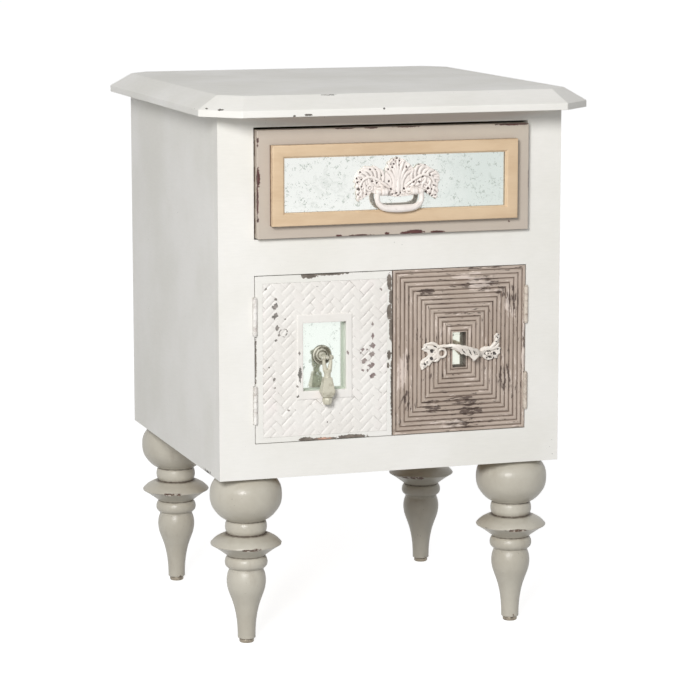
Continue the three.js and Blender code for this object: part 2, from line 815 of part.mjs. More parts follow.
function pullPlate() {
  const low = -plateHeight * plateAxisShare;
  const right = plateShares.map(([wide, high]) => [wide * plateHalfWidth, low + high * plateHeight]);
  const left = right.slice(1, -1).reverse().map(([x, z]) => [-x, z]);
  const plate = casting([...right, ...left], plateBack - bailY, plateThickness, plateBevel);
  const front = plateFront - bailY;
  const shell = dome([0, front, low + plateHeight * shellLiftShare], shellRadius, shellHeight, shellRise);
  const sides = [-1, 1].flatMap((side) => {
    const wingX = side * plateHalfWidth * wingPlaceShare;
    const inner = side * earPlace - earWidth / 2;
    const outer = side * earPlace + earWidth / 2;
    return [
      dome([wingX, front, low + plateHeight * wingLiftShare], wingRadius, wingHeight, wingRise),
      rod('x', earRadius, inner, outer, [0, 0, 0], holeSides),
      block([inner, 0, -earRadius + seam], [outer, front + plateBevel, earRadius - seam]),
    ];
  });
  const hole = rod('x', bailPinRadius + seam, -plateHalfWidth, plateHalfWidth, [0, 0, 0], holeSides);
  const earHoles = [-1, 1].map((side) => block(
    [side * earPlace - earWidth / 2 - overrun, -earRadius - overrun, -earRadius - overrun],
    [side * earPlace + earWidth / 2 + overrun, earRadius, earRadius + overrun],
  ).intersect(hole));
  return cut(join(plate, shell, ...sides), ...earHoles);
}

function pullBail() {
  const half = bailWidthShares.map(
    (wide, number) => [wide * bailHalfWidth, 0, -bailDropShares[number] * bailDrop],
  );
  const other = half.slice(0, -1).reverse().map(([x, y, z]) => [-x, y, z]);
  const grip = tube([...half, ...other], bailSteps, (share) => {
    const radius = bailArmRadius + (bailGripRadius - bailArmRadius) * Math.sin(share * Math.PI) ** 2;
    return [radius, radius];
  }, new THREE.Vector3(0, 1, 0));
  const ends = [-1, 1].flatMap((side) => {
    const inner = side * bailPinEnd;
    const outer = side * bailHalfWidth;
    return [
      rod('x', bailPinRadius, Math.min(inner, outer), Math.max(inner, outer), [0, 0, 0], holeSides),
      dome([outer, 0, 0], bailArmRadius, bailArmRadius, bailArmRadius),
    ];
  });
  return join(grip, ...ends);
}

// Left door: a board with a woven field let into it, a window with a mirror and a drop pull

function doorWindowCuts(x, z, width, height) {
  return [
    block([x, -overrun, z], [x + width, doorThickness + overrun, z + height]),
    block(
      [x - doorMirrorLap, doorWindowDepth, z - doorMirrorLap],
      [x + width + doorMirrorLap, doorThickness + overrun, z + height + doorMirrorLap],
    ),
  ];
}

function doorGains(edgeX, side) {
  const axisX = edgeX - (side * doorGap) / 2;
  return Object.values(hingeLifts).flatMap((lift) => hingeGain(axisX, edgeX, side, lift));
}

const fieldX = fieldBorderLeft;
const fieldZ = fieldBorderBottom;
const fieldWidth = leftDoorWidth - fieldBorderLeft - fieldBorderRight;
const fieldHeight = doorHeight - fieldBorderTop - fieldBorderBottom;

function leftDoorBoard() {
  const board = block([0, 0, 0], [leftDoorWidth, doorThickness, doorHeight]);
  const recess = block(
    [fieldX, -overrun, fieldZ],
    [fieldX + fieldWidth, fieldThickness + seam, fieldZ + fieldHeight],
  );
  const window = doorWindowCuts(leftWindowX, leftWindowZ, leftWindowWidth, leftWindowHeight);
  return cut(board, recess, ...window, ...doorGains(0, 1));
}

// A herringbone of bricks twice as long as wide, at half a right angle, each a low pillow. The sheet is one
// conforming skin: neighbours share the points in the valleys, and the back repeats the skin's outline.
function wovenSheet(left, right, low, high) {
  const diagonal = Math.SQRT1_2;
  const reach = Math.ceil((Math.abs(right) + Math.abs(high)) / brickWidth) + 2;
  const places = [];
  const keys = new Map();
  const index = [];
  const toField = (u, v) => [(u - v) * diagonal * brickWidth, (u + v) * diagonal * brickWidth];

  function point(key, u, v, y) {
    if (!keys.has(key)) {
      const [x, z] = toField(u, v);
      keys.set(key, places.length / 3);
      places.push(x, y, z);
    }
    return keys.get(key);
  }

  function brick(i, j, wide, tall) {
    const [x, z] = toField(i + wide / 2, j + tall / 2);
    if (x < left - 2 * brickWidth || x > right + 2 * brickWidth) return;
    if (z < low - 2 * brickWidth || z > high + 2 * brickWidth) return;
    const slope = brickSlope / brickWidth;
    const rim = wide > tall
      ? [[0, 0], [1, 0], [2, 0], [2, 1], [1, 1], [0, 1]]
      : [[0, 0], [1, 0], [1, 1], [1, 2], [0, 2], [0, 1]];
    const corners = [[0, 0], [wide, 0], [wide, tall], [0, tall]];
    const valley = rim.map(([a, b]) => point(`valley ${i + a} ${j + b}`, i + a, j + b, brickRelief));
    const root = brickRelief + brickRoot;
    const under = rim.map(([a, b]) => point(`under ${i + a} ${j + b}`, i + a, j + b, root));
    const crest = corners.map(([a, b], number) => point(
      `crest ${i} ${j} ${number}`,
      i + a + (a === 0 ? slope : -slope), j + b + (b === 0 ? slope : -slope), 0,
    ));
    let corner = 0;
    for (let side = 0; side < rim.length; side += 1) {
      const next = (side + 1) % rim.length;
      const isCorner = corners.some(([a, b]) => a === rim[next][0] && b === rim[next][1]);
      index.push(valley[side], valley[next], crest[corner]);
      if (isCorner) {
        const following = (corner + 1) % corners.length;
        index.push(valley[next], crest[following], crest[corner]);
        corner = following;
      }
    }
    index.push(crest[0], crest[1], crest[2], crest[0], crest[2], crest[3]);
    for (let side = 1; side < rim.length - 1; side += 1) index.push(under[0], under[side + 1], under[side]);
  }

  for (let i = -2 * reach; i <= 2 * reach; i += 1) {
    for (let j = -2 * reach; j <= 2 * reach; j += 1) {
      const turn = (((i - j) % 4) + 4) % 4;
      if (turn === 0) brick(i, j, 2, 1);
      if (turn === 3) brick(i, j, 1, 2);
    }
  }

  // Close the sheet's edge between the valleys and the points under them
  const open = new Map();
  for (let t = 0; t < index.length; t += 3) {
    for (let k = 0; k < 3; k += 1) {
      const a = index[t + k];
      const b = index[t + ((k + 1) % 3)];
      if (open.has(`${b} ${a}`)) open.delete(`${b} ${a}`);
      else open.set(`${a} ${b}`, [a, b]);
    }
  }
  const names = new Map([...keys].map(([key, place]) => [place, key]));
  for (const [a, b] of open.values()) {
    if (names.get(a).startsWith('valley')) {
      const underA = keys.get(names.get(a).replace('valley', 'under'));
      const underB = keys.get(names.get(b).replace('valley', 'under'));
      index.push(b, a, underA, b, underA, underB);
    }
  }
  const geometry = new THREE.BufferGeometry();
  geometry.setAttribute('position', new THREE.Float32BufferAttribute(places, 3));
  geometry.setIndex(index);
  return solidOf(geometry);
}

function wovenField() {
  const middleX = fieldWidth / 2;
  const middleZ = fieldHeight / 2;
  const sheet = wovenSheet(-middleX, middleX, -middleZ, middleZ).translate([middleX, 0, middleZ]);
  const room = block(
    [fieldGap, -overrun, fieldGap],
    [fieldWidth - fieldGap, fieldThickness, fieldHeight - fieldGap],
  );
  const base = block(
    [fieldGap, brickRelief + brickRoot / 2, fieldGap],
    [fieldWidth - fieldGap, fieldThickness, fieldHeight - fieldGap],
  );
  const x = leftWindowX - fieldX;
  const z = leftWindowZ - fieldZ;
  const margin = block(
    [x - marginSide, -marginProud, z - marginEnd],
    [x + leftWindowWidth + marginSide, fieldThickness, z + leftWindowHeight + marginEnd],
  );
  const window = block(
    [x, -overrun, z],
    [x + leftWindowWidth, fieldThickness + overrun, z + leftWindowHeight],
  );
  return cut(join(sheet.intersect(room), base, margin), window);
}

function doorMirror(width, height) {
  const front = doorWindowDepth + seam;
  return block(
    [seam - doorMirrorLap, front, seam - doorMirrorLap],
    [width + doorMirrorLap - seam, front + doorMirrorThickness, height + doorMirrorLap - seam],
  );
}

function doorBacker(width, height) {
  return block(
    [seam - doorMirrorLap, doorWindowDepth + doorMirrorThickness + 2 * seam, seam - doorMirrorLap],
    [width + doorMirrorLap - seam, doorThickness, height + doorMirrorLap - seam],
  );
}

// Drop pull: a dished rosette on the mirror with a post and a cross pin, and a drop that hangs on the pin.
// Its own place is the middle of the cross pin.

const dropPinEnd = dropEarInner + dropEarWidth + seam;

function dropRosette() {
  const backY = dropReach;
  const rim = rosetteShares.map(([wide, high]) => [wide * rosetteRadius, high * rosetteThickness]);
  const postEnd = backY + dropPostRadius;
  const post = [
    [0, 0], [rosetteRadius, 0], ...rim,
    [dropPostRadius, rosetteThickness * rosetteBossShare], [dropPostRadius, postEnd], [0, postEnd],
  ];
  const button = turned(post, rosetteSides).rotate([90, 0, 0]).translate([0, backY, 0]);
  const headEnd = dropPinEnd + dropPinHead;
  const pin = rod('x', dropPinRadius, -headEnd, headEnd, [0, 0, 0], holeSides);
  const heads = [
    rod('x', dropPinHeadRadius, -headEnd, -dropPinEnd, [0, 0, 0], holeSides),
    rod('x', dropPinHeadRadius, dropPinEnd, headEnd, [0, 0, 0], holeSides),
  ];
  return join(button, pin, ...heads);
}

function cutSquare(halfWidth, height) {
  const wide = halfWidth;
  const deep = halfWidth * dropBodyDepthShare;
  const corner = dropCornerShare;
  return [
    [wide, -deep * corner, height], [wide, deep * corner, height], [wide * corner, deep, height],
    [-wide * corner, deep, height], [-wide, deep * corner, height], [-wide, -deep * corner, height],
    [-wide * corner, -deep, height], [wide * corner, -deep, height],
  ];
}

function dropBody() {
  const collarTop = -dropLegLength;
  const neckTop = collarTop - collarHeight;
  const bodyTop = neckTop - neckHeight;
  const shoulder = bodyTop - dropBodyHeight;
  const bodyEnd = shoulder - dropBodyTaper;
  const tipEnd = bodyEnd - dropTipHeight;
  const legs = [-1, 1].map((side) => {
    const inner = side * dropEarInner;
    const outer = side * (dropEarInner + dropEarWidth);
    const low = Math.min(inner, outer);
    const high = Math.max(inner, outer);
    const strap = block([low, -dropLegDepth / 2, collarTop - collarHeight / 2], [high, dropLegDepth / 2, 0]);
    return join(rod('x', dropEarRadius, low, high, [0, 0, 0], holeSides), strap);
  });
  const hole = rod('x', dropPinRadius + seam, -dropPinEnd, dropPinEnd, [0, 0, 0], holeSides);
  const collarWaist = collarRadius * collarWaistShare;
  const stem = turned([
    [0, bodyTop - overrun], [neckRadius, bodyTop - overrun], [neckRadius, neckTop],
    [collarWaist, neckTop], [collarRadius, (neckTop + collarTop) / 2], [collarWaist, collarTop],
    [0, collarTop],
  ], holeSides);
  const body = loft([
    cutSquare(dropBodyEnd, bodyEnd), cutSquare(dropBodyWidth, shoulder), cutSquare(dropBodyTop, bodyTop),
  ]);
  const tip = turned([
    [0, tipEnd], [dropTipRadius - dropTipBevel, tipEnd], [dropTipRadius, tipEnd + dropTipBevel],
    [dropTipRadius, bodyEnd - dropTipBevel], [dropTipRadius - dropTipBevel, bodyEnd + seam],
    [0, bodyEnd + seam],
  ], dropTipSides);
  return join(cut(join(...legs), hole), stem, body, tip);
}

// Right door: ridges like picture frames one inside another, round a small window

function ridgedDoor() {
  const windowX = (rightDoorWidth - rightWindowWidth) / 2;
  const windowZ = (doorHeight - rightWindowHeight) / 2;
  const room = Math.min(windowX, windowZ) - firstGroove - innerLand;
  const ridges = Math.floor(room / ridgePitch);
  const front = [[0, 0, 0], [firstGroove * firstLandShare, firstGroove * firstLandShare, 0]];
  for (let ridge = 0; ridge < ridges; ridge += 1) {
    for (const [along, deep] of ridgeShares) {
      const inset = firstGroove + (ridge + along) * ridgePitch;
      front.push([inset, inset, deep * grooveDepth]);
    }
  }
  const lastGroove = firstGroove + ridges * ridgePitch;
  front.push([lastGroove, lastGroove, grooveDepth]);
  front.push([(lastGroove + windowX) / 2, (lastGroove + windowZ) / 2, 0]);
  const profile = [
    [0, 0, doorThickness], ...front, [windowX, windowZ, 0], [windowX, windowZ, doorWindowDepth],
    [windowX - doorMirrorLap, windowZ - doorMirrorLap, doorWindowDepth],
    [windowX - doorMirrorLap, windowZ - doorMirrorLap, doorThickness],
  ];
  return cut(rectangularRing(rightDoorWidth, doorHeight, profile), ...doorGains(rightDoorWidth, -1));
}

// Leaf handle: two screwed leaves joined by a twisted grip with a spur. Its own place is the window's middle.

function leafHandle() {
  const back = -seam;
  const place = ([x, z, reach]) => [x * leafSpan, back - reach * gripReach, z * leafSpan];
  const leaf = (shares) => {
    const outline = shares.map(([x, z]) => [x * leafSpan, z * leafSpan]);
    return casting(outline, back, leafThickness, leafBevel);
  };
  const hole = ([x, z], radius) => rod(
    'y', radius, -leafThickness - overrun, overrun, [x * leafSpan, 0, z * leafSpan], holeSides,
  );
  const upright = new THREE.Vector3(0, 0, 1);
  const grip = tube(gripPathShares.map(place), gripSteps, (share) => [
    gripHalfHeight * between(gripHeightShares, share), gripHalfDepth,
  ], upright);
  const spur = tube(spurPathShares.map(place), spurSteps, (share) => {
    const radius = spurRadius + (spurTipRadius - spurRadius) * share;
    return [radius, radius * spurDepthShare];
  }, new THREE.Vector3(1, 0, 0));
  const leaves = join(leaf(leftLeafShares.toReversed()), leaf(rightLeafShares.toReversed()));
  const smallHoles = leafHoleShares.map((spot) => hole(spot, leafHoleRadius));
  return join(cut(leaves, hole(eyeShares, eyeRadius), ...smallHoles), grip, spur);
}

// Butt hinge: two leaves with knuckles in turn and a pin with two heads. Its own place is the pin's lower end
// of the barrel. owner 0 gives the frame's leaf, which lies to -X, and owner 1 the door's leaf.

function hingeLeafSolid(owner) {
  const side = owner === 0 ? -1 : 1;
  const near = (side * doorGap) / 2;
  const far = side * (doorGap / 2 + hingeLeaf);
  const low = Math.min(near, far);
  const high = Math.max(near, far);
  const pitch = hingeLength / knuckleCount;
  const plate = block([low, knuckleRadius + seam, 0], [high, hingeLeafDepth, hingeLength]);
  const pieces = [];
  for (let knuckle = owner; knuckle < knuckleCount; knuckle += 2) {
    const bottom = knuckle * pitch + seam / 2;
    const top = (knuckle + 1) * pitch - seam / 2;
    pieces.push(rod('z', knuckleRadius, bottom, top, [0, 0, 0], knuckleSides));
    pieces.push(block([low, 0, bottom], [high, knuckleRadius + seam + hingeLeaf, top]));
  }
  const bore = rod('z', hingePinRadius + seam, -overrun, hingeLength + overrun, [0, 0, 0], hingePinSides);
  return cut(join(plate, ...pieces), bore);
}

function hingePin() {
  const low = -seam;
  const high = hingeLength + seam;
  return turned([
    [0, low - hingePinHead], [hingePinHeadRadius, low - hingePinHead], [hingePinHeadRadius, low],
    [hingePinRadius, low], [hingePinRadius, high], [hingePinHeadRadius, high],
    [hingePinHeadRadius, high + hingePinHead], [0, high + hingePinHead],
  ], hingePinSides);
}

// Door stop behind the middle rail, where both doors meet

function doorStop() {
  return block(
    [meetingMiddle - stopWidth / 2, behindFrame, topOfDoorOpening - stopDrop],
    [meetingMiddle + stopWidth / 2, behindFrame + stopThickness, dividerTop - dividerThickness - seam],
  );
}

// Assembly of the case

function mirrored(solid) {
  return solid.mirror([1, 0, 0]).translate([caseWidth, 0, 0]);
}

addPiece(cabinet, 'top_panel', topPanel(), whitePaint());
addPiece(cabinet, 'stile_left', leftStile(), whitePaint());
addPiece(cabinet, 'stile_right', mirrored(leftStile()), whitePaint());
addPiece(cabinet, 'rail_top', rail(rails.top), whitePaint());
addPiece(cabinet, 'rail_middle', rail(rails.middle), whitePaint());
addPiece(cabinet, 'rail_bottom', rail(rails.bottom), whitePaint());
addPiece(cabinet, 'side_left', leftSide(), whitePaint());
addPiece(cabinet, 'side_right', mirrored(leftSide()), whitePaint());
addPiece(cabinet, 'back_panel', backPanel(), bareWood());
addPiece(cabinet, 'bottom_panel', shelf(bottomRailHeight, bottomThickness), bareWood());
addPiece(cabinet, 'divider_panel', shelf(dividerTop, dividerThickness), bareWood());
addPiece(cabinet, 'drawer_runner_left', leftRunner(), bareWood());
addPiece(cabinet, 'drawer_runner_right', mirrored(leftRunner()), bareWood());
addPiece(cabinet, 'drawer_kicker_left', leftKicker(), bareWood());
addPiece(cabinet, 'drawer_kicker_right', mirrored(leftKicker()), bareWood());
addPiece(cabinet, 'door_stop', doorStop(), bareWood());

// Legs, glides and corner blocks, one at each corner

const legGeometry = geometryOf(turnedLeg());
const glideGeometry = geometryOf(glide());
const frontBlock = cornerBlock(behindFrame, legInsetY);
const rearBlock = cornerBlock(inFrontOfBack - cornerBlockSize, caseDepth - legInsetY);

function addCorner(name, isRight, isRear) {
  const place = [isRight ? caseWidth - legInsetX : legInsetX, isRear ? caseDepth - legInsetY : legInsetY, 0];
  const leftBlock = isRear ? rearBlock : frontBlock;
  addPiece(cabinet, `leg_${name}`, legGeometry, greigePaint(), place);
  addPiece(cabinet, `glide_${name}`, glideGeometry, agedMetal(), place);
  addPiece(cabinet, `corner_block_${name}`, isRight ? mirrored(leftBlock) : leftBlock, bareWood());
}

addCorner('front_left', false, false);
addCorner('front_right', true, false);
addCorner('rear_left', false, true);
addCorner('rear_right', true, true);

// Hinges: the right ones are the left ones turned half a turn about the front-to-back axis

const frameLeaf = geometryOf(hingeLeafSolid(0));
const doorLeaf = geometryOf(hingeLeafSolid(1));
const pinGeometry = geometryOf(hingePin());

function addHinge(side, level, lift) {
  const hinge = new THREE.Group();
  const isRight = side === 'right';
  const bottom = doorBottom + lift;
  hinge.position.set(
    isRight ? caseWidth - leftHingeAxis : leftHingeAxis,
    -hingeAxisProud,
    isRight ? bottom + hingeLength : bottom,
  );
  hinge.rotation.y = isRight ? Math.PI : 0;
  cabinet.add(hinge);
  addPiece(hinge, `hinge_${side}_${level}_frame_leaf`, frameLeaf, hingeSteel());
  addPiece(hinge, `hinge_${side}_${level}_door_leaf`, doorLeaf, hingeSteel());
  addPiece(hinge, `hinge_${side}_${level}_pin`, pinGeometry, hingeSteel());
}

for (const [level, lift] of Object.entries(hingeLifts)) {
  addHinge('left', level, lift);
  addHinge('right', level, lift);
}

// Drawer

const drawer = new THREE.Group();
drawer.position.set(drawerX, 0, drawerZ);
cabinet.add(drawer);
addPiece(drawer, 'drawer_front', drawerFront(), greigePaint());
addPiece(drawer, 'drawer_side_left', drawerSide(), bareWood());
addPiece(drawer, 'drawer_side_right', drawerSide().mirror([1, 0, 0]), bareWood(), [drawerWidth, 0, 0]);
addPiece(drawer, 'drawer_back', drawerBack(), bareWood());
addPiece(drawer, 'drawer_bottom', drawerBottom(), bareWood());
addPiece(drawer, 'drawer_moulding', drawerMoulding(), giltPaint(), [mouldingX, 0, mouldingZ]);
addPiece(drawer, 'drawer_mirror', drawerMirror(), mirrorGlass(), [mouldingX, 0, mouldingZ]);
addPiece(drawer, 'drawer_pull_plate', pullPlate(), paintedCasting(), [pullX, bailY, pullZ]);
addPiece(drawer, 'drawer_pull_bail', pullBail(), paintedCasting(), [pullX, bailY, pullZ]);

// Left door

const leftDoor = new THREE.Group();
leftDoor.position.set(leftDoorX, 0, doorBottom);
cabinet.add(leftDoor);
const leftWindow = [leftWindowX, 0, leftWindowZ];
const leftWindowSize = [leftWindowWidth, leftWindowHeight];
const dropPlace = [
  leftWindowX + leftWindowWidth / 2,
  doorWindowDepth - dropReach,
  leftWindowZ + leftWindowHeight / 2,
];
addPiece(leftDoor, 'left_door_board', leftDoorBoard(), whitePaint());
addPiece(leftDoor, 'left_door_weave', wovenField(), whitePaint(), [fieldX, 0, fieldZ]);
addPiece(leftDoor, 'left_door_mirror', doorMirror(...leftWindowSize), mirrorGlass(), leftWindow);
addPiece(leftDoor, 'left_door_backer', doorBacker(...leftWindowSize), bareWood(), leftWindow);
addPiece(leftDoor, 'left_door_rosette', dropRosette(), agedMetal(), dropPlace);
addPiece(leftDoor, 'left_door_drop', dropBody(), agedMetal(), dropPlace);

// Right door

const rightDoor = new THREE.Group();
rightDoor.position.set(rightDoorX, 0, doorBottom);
cabinet.add(rightDoor);
const rightWindowSize = [rightWindowWidth, rightWindowHeight];
const rightWindow = [(rightDoorWidth - rightWindowWidth) / 2, 0, (doorHeight - rightWindowHeight) / 2];
const rightDoorMiddle = [rightDoorWidth / 2, 0, doorHeight / 2];
addPiece(rightDoor, 'right_door_panel', ridgedDoor(), taupePaint());
addPiece(rightDoor, 'right_door_mirror', doorMirror(...rightWindowSize), mirrorGlass(), rightWindow);
addPiece(rightDoor, 'right_door_backer', doorBacker(...rightWindowSize), bareWood(), rightWindow);
addPiece(rightDoor, 'right_door_handle', leafHandle(), paintedCasting(), rightDoorMiddle);

export default chest;
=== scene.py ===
"""The painted accent chest: its finishes, and the fine pieces that stand for the plain solids.

Shapes are written in millimetres in the case's own place: X from its left side, Y back from its
front, Z up from its underside. They become metres in the part's frame when a piece is made.
"""

import math

import bmesh
import bpy
import numpy as np
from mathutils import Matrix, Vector, noise


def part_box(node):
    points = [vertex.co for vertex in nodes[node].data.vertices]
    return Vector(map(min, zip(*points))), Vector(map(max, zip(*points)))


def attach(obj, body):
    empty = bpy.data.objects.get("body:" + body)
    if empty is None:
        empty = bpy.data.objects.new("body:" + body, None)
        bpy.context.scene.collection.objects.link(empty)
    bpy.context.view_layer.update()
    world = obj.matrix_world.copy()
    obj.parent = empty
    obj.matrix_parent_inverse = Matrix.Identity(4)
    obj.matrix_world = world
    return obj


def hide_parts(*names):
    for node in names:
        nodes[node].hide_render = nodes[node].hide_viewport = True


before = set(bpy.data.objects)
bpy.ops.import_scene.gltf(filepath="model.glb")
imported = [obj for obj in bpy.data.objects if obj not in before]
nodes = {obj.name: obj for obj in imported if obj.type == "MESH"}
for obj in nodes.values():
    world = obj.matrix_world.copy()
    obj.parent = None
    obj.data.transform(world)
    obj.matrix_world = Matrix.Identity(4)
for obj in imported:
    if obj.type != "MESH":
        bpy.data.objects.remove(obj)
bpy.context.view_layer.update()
case_corner = np.array(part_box("stile_left")[0])

# Camera
EYE = (-1.17403, -3.61262, 0.96347)
AIM = (0.01651, 0.00725, 0.34479)
LENS = 146.57
SENSOR = 36.0

# Light
KEY_DIRECTION = (-0.45, -0.80, 0.36)
KEY_DISTANCE = 4.5
KEY_WIDTH = 1.2
KEY_LEVEL = 2.2
SKY_STRENGTH = 0.33

# Case and its openings, all in millimetres
CASE = (459.0, 445.0, 462.2)
FRAME_DEPTH = 20.0
STILE = 46.5
DOOR_OPENING = (45.2, 260.0)
DRAWER_OPENING = (305.5, 446.0)

# Groove behind a stile for the side's tongue: from, to, and how far back it starts
SIDE_GROOVE = (5.7, 12.3, 13.7)

# Hinges: the gain's width and depth, and how far the barrel's room goes in, back and past the ends
HINGE_BOTTOMS = (72.2, 185.2)
HINGE_LENGTH = 46.0
HINGE_PLAY = 0.3
HINGE_GAIN = (2.0, 14.7)
BARREL_ROOM = (2.2, 1.6, 1.8)
CUT_PAST = 2.0

# Woven field of the left door
FIELD_X = (57.7, 222.4)
FIELD_Z = (52.9, 249.3)
FIELD_MIDDLE = (140.05, 151.2)
FIELD_BACK = 3.5
WINDOW_X = (110.5, 168.0)
WINDOW_Z = (109.7, 197.0)
MARGIN_X = (102.7, 175.8)
MARGIN_Z = (98.9, 207.8)
STRIP = 9.2
STRIP_RELIEF = 1.25

# Right door: corner and size, then its reeds
RIGHT_DOOR = (231.2, 46.2, 180.3, 212.8)
RIGHT_WINDOW = (18.7, 45.8)
REED_PITCH = 5.75
FIRST_GROOVE = 4.0
REEDS = 13
GROOVE_DEPTH = 1.9
REED_ROUNDNESS = 2.6
DOOR_DEPTH = 20.0
GLASS_DEPTH = 12.5
GLASS_LAP = 6.0

# Fittings, each by the place that its own outline is drawn about
LEG_PLACES = {
    "front_left": (47.0, 45.5), "front_right": (412.0, 45.5),
    "rear_left": (47.0, 399.5), "rear_right": (412.0, 399.5),
}
PULL = (229.5, -27.0, 363.0)
PULL_BACK = -15.6
PULL_FRONT = -31.9
BAIL_DEPTHS = (-31.5, -22.5)
DROP = (139.25, -10.3, 153.35)
DROP_DEPTHS = (-18.2, -2.4)
HANDLE = (321.35, -0.3, 152.6)
HANDLE_DEPTHS = (-21.2, -0.3)
HANDLE_LOW = (266.2, 129.0)
HANDLE_HIGH = (377.3, 174.4)


# Finishes

class Tone:
    """A number, colour or vector inside a finish. Arithmetic on numbers adds Math nodes."""

    def __init__(self, finish, socket):
        self.finish = finish
        self.socket = socket

    def math(self, operation, first, second):
        return self.finish.node("ShaderNodeMath", {"operation": operation}, {0: first, 1: second})

    def __add__(self, other):
        return self.math("ADD", self, other)

    __radd__ = __add__

    def __sub__(self, other):
        return self.math("SUBTRACT", self, other)

    def __rsub__(self, other):
        return self.math("SUBTRACT", other, self)

    def __mul__(self, other):
        return self.math("MULTIPLY", self, other)

    __rmul__ = __mul__

    def larger(self, other):
        return self.math("MAXIMUM", self, other)

    def smaller(self, other):
        return self.math("MINIMUM", self, other)

    def step(self, low, high, start=0.0, end=1.0):
        """Turns smoothly from start to end as the number goes from low to high."""
        return self.finish.node(
            "ShaderNodeMapRange", {"interpolation_type": "SMOOTHSTEP"},
            {0: self, 1: low, 2: high, 3: start, 4: end},
        )


class Finish:
    """A material, or the world, as a tree of nodes that Python expressions fill in."""

    def __init__(self, holder):
        self.holder = holder
        holder.use_nodes = True
        self.tree = holder.node_tree
        self.tree.nodes.clear()

    def node(self, kind, settings=None, sockets=None, output=0):
        made = self.tree.nodes.new(kind)
        for name, value in (settings or {}).items():
            setattr(made, name, value)
        for name, value in (sockets or {}).items():
            socket = made.inputs[name]
            if isinstance(value, Tone):
                self.tree.links.new(value.socket, socket)
            elif hasattr(value, "__len__") and len(value) == 3 and len(socket.default_value) == 4:
                socket.default_value = (*value, 1.0)
            else:
                socket.default_value = value
        return Tone(self, made.outputs[output]) if len(made.outputs) else made

    def here(self, scale=None):
        """The place on the piece at rest, in metres, stretched by scale where it is given."""
        place = self.node("ShaderNodeTexCoord", output="Object")
        if scale is None:
            return place
        return self.vector("MULTIPLY", place, scale)

    def vector(self, operation, first, second=(0.0, 0.0, 0.0), output=0):
        return self.node("ShaderNodeVectorMath", {"operation": operation}, {0: first, 1: second}, output)

    def part(self, vector, axis):
        return self.node("ShaderNodeSeparateXYZ", None, {0: vector}, axis)

    def cloud(self, scale, detail=3.0, rough=0.55, at=None, twist=0.0):
        """Soft noise between 0 and 1; scale is in waves to a metre."""
        return self.node("ShaderNodeTexNoise", None, {
            "Vector": at or self.here(), "Scale": scale, "Detail": detail, "Roughness": rough,
            "Distortion": twist,
        })

    def cells(self, scale):
        """The distance to the nearest of many scattered points, small at each point."""
        return self.node("ShaderNodeTexVoronoi", None, {"Vector": self.here(), "Scale": scale})

    def measure(self, name):
        """A number that the mesh itself carries."""
        return self.node("ShaderNodeAttribute", {"attribute_name": name}, None, "Fac")

    def mix(self, share, first, second):
        return self.node("ShaderNodeMix", {"data_type": "RGBA"}, {0: share, 6: first, 7: second}, 2)

    def dull(self, colour, share):
        """The colour multiplied by a share."""
        return self.node(
            "ShaderNodeMix", {"data_type": "RGBA", "blend_type": "MULTIPLY"},
            {0: 1.0, 6: colour, 7: self.mix(share, (0.0, 0.0, 0.0), (1.0, 1.0, 1.0))}, 2,
        )

    def patches(self, marks):
        """How deep a place lies inside the nearest mark: its weight in the middle, 0 at its skin."""
        place = self.here()
        deepest = None
        for x, y, z, half_x, half_y, half_z, weight in marks:
            middle = case_corner + np.array((x, y, z)) / 1000
            offset = self.vector("SUBTRACT", place, tuple(middle))
            halves = np.array((half_x, half_y, half_z), float)
            scaled = self.vector("MULTIPLY", offset, tuple(1000 / halves))
            mark = (1 - self.vector("LENGTH", scaled, output=1)) * weight
            deepest = mark if deepest is None else deepest.larger(mark)
        return deepest

    def surface(self, sockets):
        shader = self.node("ShaderNodeBsdfPrincipled", None, sockets)
        self.node("ShaderNodeOutputMaterial", None, {"Surface": shader})
        return self.holder

    def bump(self, height, depth):
        """A Bump node for heights between 0 and 1, depth in millimetres."""
        return self.node("ShaderNodeBump", None, {"Distance": depth / 1000, "Height": height})


def new_finish(name):
    return Finish(bpy.data.materials.new(name))


def srgb(red, green, blue):
    """A colour as seen on paper, 0 to 255, as linear light."""
    return tuple(
        v / 12.92 if v <= 0.04045 else ((v + 0.055) / 1.055) ** 2.4
        for v in (red / 255, green / 255, blue / 255)
    )


WHITE = srgb(245, 243, 238)
WHITE_DULL = srgb(238, 236, 229)
WORN_DARK = srgb(78, 74, 68)
PAINT_BUMP = 0.08


